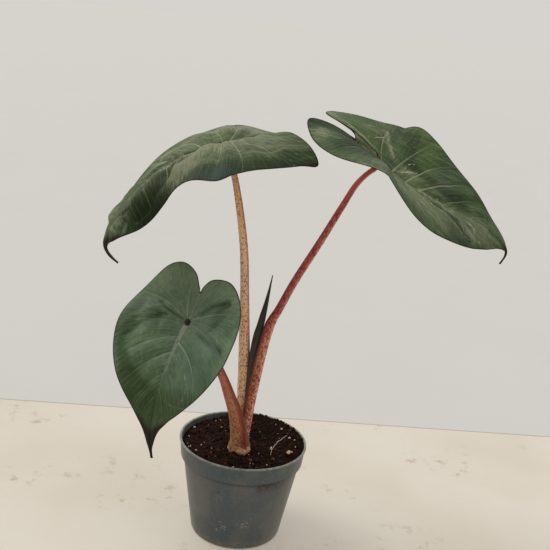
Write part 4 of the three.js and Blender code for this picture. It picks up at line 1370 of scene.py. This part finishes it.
def pot_mesh():
    """The pot turned round its axis, without its drain holes, which cut_holes cuts by a Boolean."""
    profile = eased(pot_profile(), 0.35)
    facets = POT["facets"]
    turn = np.linspace(0, 2 * np.pi, facets, endpoint=False)
    ring = joined(np.cos(turn), np.sin(turn))
    inner = profile[1:-1]
    wobble = 1 + 0.0035 * np.cos(2 * turn + 0.6) * np.clip(inner[:, 1:] / POT["height"], 0, 1)
    points = np.concatenate([
        inner[:, None, :1] * ring[None] * wobble[..., None],
        np.broadcast_to(inner[:, None, 1:], (len(inner), facets, 1)),
    ], axis=2).reshape(-1, 3)
    ring_edges = [(k, (k + 1) % facets) for k in range(facets)]
    faces = [
        [at + a, at + b, at + facets + b, at + facets + a]
        for at in range(0, (len(inner) - 1) * facets, facets) for a, b in ring_edges
    ]
    base, floor = len(points), len(points) + 1
    points = np.vstack([points, [0, 0, profile[0][1]], [0, 0, profile[-1][1]]])
    last = (len(inner) - 1) * facets
    faces.extend([base, b, a] for a, b in ring_edges)
    faces.extend([floor, last + a, last + b] for a, b in ring_edges)
    return points, faces


def cut_holes(piece):
    """Cuts the drain holes in the pot's floor and keeps the result as its mesh."""
    work = bmesh.new()
    for i in range(DRAIN["count"]):
        turn = 2 * math.pi * (i + 0.5) / DRAIN["count"]
        at = Matrix.Translation((
            DRAIN["ring_radius"] * MM * math.cos(turn),
            DRAIN["ring_radius"] * MM * math.sin(turn),
            0,
        ))
        bmesh.ops.create_cone(
            work, cap_ends=True, segments=DRAIN["facets"], radius1=DRAIN["radius"] * MM,
            radius2=DRAIN["radius"] * MM, depth=12 * MM, matrix=at,
        )
    drill_mesh = bpy.data.meshes.new("drill")
    work.to_mesh(drill_mesh)
    work.free()
    drill = add_object("drill", drill_mesh)
    cutter = piece.modifiers.new("holes", "BOOLEAN")
    cutter.object = drill
    cutter.operation = "DIFFERENCE"
    cutter.solver = "EXACT"
    depsgraph = bpy.context.evaluated_depsgraph_get()
    cut = bpy.data.meshes.new_from_object(piece.evaluated_get(depsgraph))
    piece.modifiers.clear()
    piece.data = cut
    bpy.data.objects.remove(drill)
    cut.set_sharp_from_angle(angle=math.radians(50))


def spot(g, at, reach, power=1.0):
    """A soft round mask about a place given in millimetres."""
    inputs = {0: g.here(), 1: tuple(value * MM for value in at)}
    away = g.node("VectorMath", inputs, operation="DISTANCE").outputs["Value"]
    return g.step(away, reach * MM, 0, 0, power)


# Scuffed places on the pot as centre, reach and, where it isn't 1, strength.
SCUFFED = (
    ((-12.7, -44.7, 23.6), 11), ((9.7, -46.4, 29.8), 11), ((-16, -50, 56), 8, 0.7),
    ((12.5, -46.8, 33), 7),
)


def pot_material():
    g = Graph("pot_plastic", Specular_IOR_Level=0.45)
    z = g.part(g.here(), 2)
    collar_foot = (POT["height"] - POT["collar_height"]) * MM
    lip_foot = (POT["height"] - POT["lip_height"]) * MM
    cloud = g.noise(g.place((1, 1, 0.5)), 26, 4, 0.6)
    wipes = g.noise(g.place((1, 1, 0.16)), 240, 4, 0.65)
    grain = g.noise(g.place(), 2600, 2)
    colour = g.coats(
        (67, 75, 79),
        ((78, 84, 85), cloud, 0.35, 0.68),
        ((108, 110, 101), wipes, 0.52, 0.72, 0, 0.22),
        ((48, 54, 52), wipes, 0.45, 0.28, 0, 0.25),
    )
    collar = g.step(z, collar_foot - 0.0005, collar_foot + 0.0005)
    colour = g.coat(colour, (58, 74, 76), g.times(collar, 0.5))
    # Painted highlight: a pale band round the lip, broken by the wipes.
    lip = g.step(z, lip_foot + 0.0002, lip_foot + 0.0016)
    lip = g.times(lip, g.step(wipes, 0.35, 0.62, 0.35, 1.0))
    colour = g.coat(colour, (150, 152, 142), g.times(lip, 0.75))
    film = g.noise(g.place(), 420, 5, 0.75)
    scuffs = g.step(film, 0.53, 0.62)
    where = g.largest(*(spot(g, *scuffed) for scuffed in SCUFFED), 0.10)
    colour = g.coat(colour, (176, 170, 150), g.times(scuffs, g.times(where, 0.75)))
    distance, rank = g.cells(g.place((1, 1, 0.8)), 210)
    dots = g.times(g.step(distance, 0.16, 0.05), g.step(rank, 0.86, 0.9))
    colour = g.coat(colour, (58, 48, 40), g.times(dots, 0.7))
    under_collar = g.times(
        g.step(z, collar_foot - 0.016, collar_foot - 0.0005),
        g.step(z, collar_foot + 0.0015, collar_foot + 0.0002),
    )
    smudge = g.times(under_collar, g.step(film, 0.44, 0.50))
    near = g.largest(spot(g, (33, -44, 71), 24), spot(g, (44, -30, 68), 24))
    near = g.times(near, 3.5, True)
    colour = g.coat(colour, (50, 36, 26), g.times(smudge, near))
    blob = g.times(spot(g, (-16.5, -49.5, 62.5), 2.6), 0.9)
    colour = g.coat(colour, (58, 38, 30), g.math("ADD", blob, 0, True))
    # Painted sheen: the pot turns lighter towards its outline, where its surface turns away from
    # view.
    painted_grazing_sheen = g.node("LayerWeight", {"Blend": 0.35}).outputs["Facing"]
    colour = g.coat(colour, (132, 130, 118), painted_grazing_sheen, 0.35, 0.95, 0, 0.6)
    warm = g.noise(g.place((1, 1, 0.6)), 38, 3, 0.6)
    colour = g.coat(colour, (104, 100, 88), warm, 0.48, 0.66, 0, 0.4)
    foot = g.times(g.step(z, 0.012, 0.0), g.step(film, 0.42, 0.62, 0.1, 0.5))
    colour = g.coat(colour, (146, 132, 110), foot)
    rough = g.step(wipes, 0.3, 0.7, 0.40, 0.56)
    # Painted shade: a dark band just under the collar's ledge.
    painted_shade_below_collar = g.times(
        g.step(z, collar_foot - 0.0048, collar_foot - 0.0008),
        g.step(z, collar_foot + 0.0006, collar_foot),
    )
    colour = g.coat(colour, (24, 27, 28), g.times(painted_shade_below_collar, 0.62))
    relief = g.bump(grain, 0.00012, 0.35)
    relief = g.bump(wipes, 0.0004, 0.22, relief)
    return g.finish(Base_Color=colour, Roughness=rough, Normal=relief)


cut_holes(make_piece("fine_pot", *pot_mesh(), "pot", pot_material(), ["pot"]))


# Soil


def soil_height(x, y):
    """The soil's uneven top: banked up at the wall, hollow at the stalks, and lumpy."""
    at_x, at_y, depth, radius = SOIL["hollow"]
    bank = SOIL["banked_up"] * (np.hypot(x, y) / POT["rim_radius"]) ** 2
    hollow = depth * np.exp(-((x - at_x) ** 2 + (y - at_y) ** 2) / radius**2)
    lumps = sum(share * np.sin(a * x + b * y + start) for a, b, start, share in LUMPS)
    return SOIL["level"] + bank - hollow + SOIL["crumb_height"] * lumps


def rough_soil_height(x, y):
    """The soil's top with its crumbs."""
    flat = joined(x, y, np.zeros_like(x))
    crumbs = 0.8 * noise(flat, 7, 2) + 0.9 * np.abs(noise(flat + 40, 2.4, 2))
    away = np.hypot(x, y)
    behind = smooth(np.cos(np.arctan2(y, x) - math.radians(38)), 0.0, 0.75)
    banked = behind * smooth(away, 38, 57) * (4.8 + 3.0 * np.abs(noise(flat + 80, 3.0, 2)))
    pit = 4.0 * np.exp(-((x - 16) ** 2 / 80 + (y - 16) ** 2 / 110))
    return soil_height(x, y) + crumbs - 0.35 + banked - pit


def soil_mesh():
    rings, facets = SOIL["rings"], SOIL["facets"]
    wall = inner_wall()
    (foot_radius, foot_z), (mouth_radius, mouth_z) = wall[-2:]
    share = (SOIL["level"] - foot_z) / (mouth_z - foot_z)
    radius = foot_radius + share * (mouth_radius - foot_radius) - CLEARANCE
    turn = np.linspace(0, 2 * np.pi, facets, endpoint=False)
    radii = radius * (np.arange(1, rings + 1) / rings) ** 0.85
    x = (radii[:, None] * np.cos(turn)).ravel()
    y = (radii[:, None] * np.sin(turn)).ravel()
    top = joined(x, y, rough_soil_height(x, y))
    middle = np.array([[0, 0, rough_soil_height(np.zeros(1), np.zeros(1))[0]]])
    lower = []
    for ring_radius, z in reversed(wall[1:-1]):
        ring_radius -= CLEARANCE
        circle = joined(ring_radius * np.cos(turn), ring_radius * np.sin(turn))
        lower.append(np.column_stack([circle, np.full(facets, z + CLEARANCE)]))
    centre = np.array([[0, 0, lower[-1][0, 2]]])
    points = np.vstack([middle, top, *lower, centre])
    k = np.arange(facets)
    after = (k + 1) % facets
    faces = [joined(np.zeros(facets, int), 1 + k, 1 + after)]
    total = rings + len(lower)
    for ring in range(total - 1):
        a, b = 1 + ring * facets + k, 1 + ring * facets + after
        faces.append(joined(a, a + facets, b + facets))
        faces.append(joined(a, b + facets, b))
    last = 1 + (total - 1) * facets
    faces.append(joined(np.full(facets, len(points) - 1), last + after, last + k))
    return points, np.vstack(faces)


def soil_material():
    g = Graph("soil", Specular_IOR_Level=0.1, Roughness=0.95)
    cloud = g.noise(g.place(), 120, 4, 0.65)
    fine = g.noise(g.place(), 900, 4, 0.7)
    colour = g.coats(
        (17, 9, 5),
        ((36, 19, 10), cloud, 0.35, 0.65),
        ((76, 43, 27), fine, 0.5, 0.72, 0, 0.6),
        ((8, 5, 5), fine, 0.46, 0.28, 0, 0.85),
    )
    # Painted shade: the pit among the stalks darkened to near black.
    hollow = g.largest(spot(g, (19, 15, 87), 24), spot(g, (14, 30, 88), 22, 0.9))
    colour = g.coat(colour, (9, 6, 5), hollow)
    relief = g.bump(fine, 0.0012, 0.8)
    return g.finish(Base_Color=colour, Normal=relief)


soil_points, soil_faces = soil_mesh()
make_piece("fine_soil", soil_points, soil_faces, "soil", soil_material(), ["soil"])


# What lies on the soil. Each white grain and yellow chip has a place and a size.
CRUMBS, LOOSE_WHITE, FIBRES = 900, 46, 150
YELLOW_CHIPS = ((43.4, -15.6, 2.0), (45.8, -13.4, 1.7), (44.4, -12.6, 1.2))
PALE_ROOT = (
    (42.5, 23.5), (38.5, 17.5), (34, 11), (30.8, 3), (28.6, -5), (27.4, -11), (27.2, -17),
)
WHITE_GRAINS = (
    (27.2, -2.6, 1.7), (-47.7, -16.8, 1.1), (-49, 23.6, 1.2), (-22.7, 29.8, 0.9), (8.6, -39.2, 0.8),
    (24.4, -37.7, 0.9), (-18.2, 27.1, 0.8), (-33, 9, 0.9), (-52, 4, 0.9), (-42, -24, 0.8),
    (40, 24, 1), (44, 17, 1.2), (36, 32, 1), (49, 10, 0.9), (30, 40, 0.8), (50, -2, 0.9),
    (-30, -30, 0.7), (-6, -46, 0.8), (0, -52, 0.7), (14, -50, 0.7), (-13, 38, 0.7), (-36, 33, 0.8),
)


def ball():
    """A small sphere's points and triangles."""
    work = bmesh.new()
    bmesh.ops.create_icosphere(work, subdivisions=2, radius=1)
    points = np.array([vertex.co[:] for vertex in work.verts])
    faces = np.array([[vertex.index for vertex in face.verts] for face in work.faces])
    work.free()
    return points, faces


BALL_POINTS, BALL_FACES = ball()


def add_grains(name, x, y, raised, sizes, seed, material, ragged=0.35):
    """A piece of irregular grains on the soil, each with a random form and tone."""
    rng = np.random.default_rng(seed)
    centres = joined(x, y, rough_soil_height(x, y) + raised)
    points, faces, tones = [], [], []
    for n, (centre, size) in enumerate(zip(centres, sizes)):
        turn = Matrix.Rotation(rng.uniform(0, 2 * math.pi), 3, Vector(rng.normal(size=3)))
        stretch = rng.uniform(0.6, 1.25, 3) * size
        form = BALL_POINTS * (1 + ragged * noise(BALL_POINTS + 9.1 * n, 0.8, 2))[:, None]
        points.append((form * stretch) @ np.array(turn).T + centre)
        faces.append(BALL_FACES + n * len(BALL_POINTS))
        tones.append(np.full((len(BALL_FACES), 3), rng.uniform()))
    make_piece(
        name, np.vstack(points), np.vstack(faces), "soil", material,
        corners={"tone": np.vstack(tones)},
    )


def on_soil(rng, count, outer=57.0):
    """Random places on the soil's top, outside the stalks."""
    places = []
    while len(places) < count:
        x, y = rng.uniform(-outer, outer, 2)
        if math.hypot(x, y) < outer and math.hypot((x + 2.5) / 10.5, (y + 6) / 9.5) > 1:
            places.append((x, y))
    return np.array(places).T


def crumb_material():
    g = Graph("soil_crumbs", Specular_IOR_Level=0.12, Roughness=0.95)
    tone = g.attribute("tone")
    fine = g.noise(g.place(), 1500, 3, 0.7)
    colour = g.coats(
        (13, 7, 5),
        ((52, 27, 16), tone),
        ((98, 58, 38), tone, 0.92, 0.98),
        ((82, 50, 34), fine, 0.5, 0.75, 0, 0.45),
    )
    return g.finish(Base_Color=colour, Normal=g.bump(fine, 0.0008, 0.7))


rng = np.random.default_rng(11)
crumb_at = on_soil(rng, CRUMBS)
crumb_sizes = 0.45 + 1.9 * rng.uniform(size=CRUMBS) ** 4
add_grains("soil_crumbs", *crumb_at, 0.1, crumb_sizes, 12, crumb_material())


def white_material():
    g = Graph("white_grains", Specular_IOR_Level=0.3, Roughness=0.8)
    fine = g.noise(g.place(), 2000, 3, 0.7)
    colour = g.coat((206, 196, 182), (168, 158, 146), g.attribute("tone"))
    colour = g.coat(colour, (90, 74, 60), fine, 0.45, 0.3, 0, 0.7)
    return g.finish(Base_Color=colour, Normal=g.bump(fine, 0.0006, 0.6))


loose_at = on_soil(rng, LOOSE_WHITE, 55)
loose = joined(*loose_at, rng.uniform(0.3, 0.7, LOOSE_WHITE))
white_x, white_y, white_sizes = np.vstack([WHITE_GRAINS, loose]).T
add_grains(
    "white_grains", white_x, white_y, 0.35 * white_sizes, white_sizes, 13, white_material()
)


def chip_material():
    g = Graph("yellow_chips", Specular_IOR_Level=0.3, Roughness=0.75)
    fine = g.noise(g.place(), 900, 3, 0.7)
    colour = g.coat((206, 164, 104), (226, 198, 148), fine, 0.35, 0.65)
    return g.finish(Base_Color=colour, Normal=g.bump(fine, 0.0008, 0.6))


chip_x, chip_y, chip_sizes = np.transpose(YELLOW_CHIPS)
add_grains("yellow_chips", chip_x, chip_y, 0.9, chip_sizes, 14, chip_material(), 0.5)


def thin_tube(path, radius, sides=6):
    """A thin fibre along a path, with closed ends."""
    along = np.gradient(path, axis=0)
    along /= np.linalg.norm(along, axis=1)[:, None]
    sideways = np.cross(along, (0.0, 0.0, 1.0))
    sideways /= np.maximum(np.linalg.norm(sideways, axis=1), 1e-6)[:, None]
    upward = np.cross(sideways, along)
    angle = np.linspace(0, 2 * np.pi, sides, endpoint=False)
    taper = np.sin(np.linspace(0.25, np.pi - 0.25, len(path)))[:, None, None] ** 0.5
    rings = path[:, None] + radius * taper * (
        np.cos(angle)[None, :, None] * sideways[:, None]
        + np.sin(angle)[None, :, None] * upward[:, None]
    )
    k = np.arange(1, sides - 1)
    last = (len(path) - 1) * sides
    faces = np.vstack([
        strip_faces(len(path), sides, closed=True)[:, [0, 2, 1]],
        joined(0 * k, k, k + 1),
        joined(0 * k + last, last + k + 1, last + k),
    ])
    return rings.reshape(-1, 3), faces


def fibre_material(name, first, second):
    g = Graph(name, Specular_IOR_Level=0.3, Roughness=0.8)
    tone = g.attribute("tone")
    fine = g.noise(g.place(), 1600, 2)
    colour = g.coat(first, second, tone)
    colour = g.coat(colour, (40, 26, 20), fine, 0.55, 0.4, 0, 0.4)
    return g.finish(Base_Color=colour, Normal=g.bump(fine, 0.0004, 0.5))


fibre_points, fibre_faces, fibre_tones = [], [], []
base_index = 0
for x0, y0 in on_soil(rng, FIBRES, 53).T:
    reach = rng.uniform(3, 10)
    heading = rng.uniform(0, 2 * math.pi)
    s = np.linspace(0, 1, 9)
    bend = heading + rng.uniform(-1.2, 1.2) * s
    px = x0 + np.cumsum(np.cos(bend)) * reach / 9
    py = y0 + np.cumsum(np.sin(bend)) * reach / 9
    if np.hypot(px, py).max() > 56:
        continue
    pz = rough_soil_height(px, py) + 0.2 + rng.uniform(0, 1.2) * np.sin(np.pi * s)
    p, f = thin_tube(joined(px, py, pz), rng.uniform(0.10, 0.22))
    fibre_points.append(p)
    fibre_faces.append(f + base_index)
    fibre_tones.append(np.full((len(f), 3), rng.uniform()))
    base_index += len(p)
make_piece(
    "soil_fibres", np.vstack(fibre_points), np.vstack(fibre_faces), "soil",
    fibre_material("soil_fibres", (44, 22, 14), (104, 58, 36)),
    corners={"tone": np.vstack(fibre_tones)},
)

s = np.linspace(0, 1, 33)
root = smooth_values(PALE_ROOT, s)
root_z = rough_soil_height(*root.T) + 0.5 + 1.6 * np.sin(np.pi * s) ** 0.7
root_points, root_faces = thin_tube(np.column_stack([root, root_z]), 0.32, 8)
make_piece(
    "pale_root", root_points, root_faces, "soil",
    fibre_material("pale_root", (196, 178, 154), (170, 150, 126)),
    corners={"tone": np.zeros((len(root_faces), 3))},
)


# Stage, light and camera


# The line where the backdrop meets the floor: its depth in metres and its slope.
WALL_FOOT, WALL_SLOPE = 0.2457, 0.083
FLOOR_REACH = 30.0


def floor_material():
    g = Graph("floor", Roughness=0.75, Specular_IOR_Level=0.2)
    here = g.here()
    edge = g.math("SUBTRACT", g.part(here, 1), g.times(g.part(here, 0), WALL_SLOPE))
    grain = g.noise(here, 260, 4, 0.65)
    cloud = g.noise(here, 7, 3)
    table = g.coat((207, 200, 188), (201, 193, 179), cloud, 0.3, 0.7)
    table = g.coat(table, (186, 172, 150), grain, 0.58, 0.74, 0, 0.2)
    dirt = g.noise(here, 60, 5, 0.7)
    patch = g.noise(here, 9, 2)
    dirt = g.times(g.step(dirt, 0.54, 0.68), g.step(patch, 0.50, 0.62, 0, 0.5))
    table = g.coat(table, (160, 132, 106), dirt)
    wall = g.coat((194, 192, 189), (193, 191, 187), cloud, 0.3, 0.7)
    colour = g.coat(table, wall, edge, WALL_FOOT - 0.0005, WALL_FOOT + 0.0005)
    # Painted shadow: a darker line along the foot of the backdrop.
    line = g.times(
        g.step(edge, WALL_FOOT - 0.0021, WALL_FOOT - 0.0009),
        g.step(edge, WALL_FOOT + 0.0011, WALL_FOOT + 0.0001),
    )
    colour = g.coat(colour, (120, 108, 92), g.times(line, 0.55))
    g.finish(Emission_Color=colour, Emission_Strength=0.42)
    inputs = {0: 1.0, 6: colour, 7: srgb(188, 188, 188)}
    half = g.node("Mix", inputs, data_type="RGBA", blend_type="MULTIPLY").outputs[2]
    return g.finish(Base_Color=half, Normal=g.bump(grain, 0.0002, 0.2))


floor_mesh = bpy.data.meshes.new("floor")
floor_mesh.from_pydata(
    [(x * FLOOR_REACH, y * FLOOR_REACH, 0) for x, y in ((-1, -1), (1, -1), (1, 1), (-1, 1))],
    [], [(0, 1, 2, 3)],
)
floor_mesh.materials.append(floor_material())
add_object("floor", floor_mesh)


def add_sun(name, direction, strength, spread, colour):
    light = bpy.data.lights.new(name, "SUN")
    light.energy = strength
    light.angle = math.radians(spread)
    light.color = colour
    lamp = add_object(name, light)
    lamp.rotation_mode = "QUATERNION"
    lamp.rotation_quaternion = Vector(direction).to_track_quat("Z", "Y")


add_sun("key", (-0.6, 0.15, 1.0), 1.9, 30, (1.0, 0.98, 0.94))
add_sun("fill", (0.6, -0.7, 0.7), 0.35, 80, (0.96, 0.98, 1.0))

world = bpy.data.worlds.new("studio")
sky = Graph(world, "Background", Color=(1.0, 0.972, 0.925, 1))
toward = sky.here("Generated")
lower_dimmed = sky.step(sky.part(toward, 2), 0.04, 0.7, 0.668, 1.1)
front_dimmed = sky.step(sky.part(toward, 1), -0.7, 0.1, 0.6, 1)
sky.finish(Strength=sky.times(lower_dimmed, front_dimmed))
bpy.context.scene.world = world
bpy.context.scene.view_settings.view_transform = "Standard"

camera_data = bpy.data.cameras.new("camera")
camera_data.sensor_width = 36
camera_data.lens = 36 * CAMERA["focal_in_widths"]
camera_data.clip_start = 0.01
camera = add_object("camera", camera_data)
pitch, roll = math.radians(CAMERA["pitch"]), math.radians(CAMERA["roll"])
ahead = Vector((0, math.cos(pitch), -math.sin(pitch)))
upward = Vector((0, math.sin(pitch), math.cos(pitch)))
rightward = Vector((1, 0, 0))
screen_right = math.cos(roll) * rightward + math.sin(roll) * upward
screen_up = -math.sin(roll) * rightward + math.cos(roll) * upward
turned = Matrix((screen_right, screen_up, -ahead)).transposed().to_4x4()
camera.matrix_world = Matrix.Translation(Vector(CAMERA["at"]) * MM) @ turned
bpy.context.scene.camera = camera
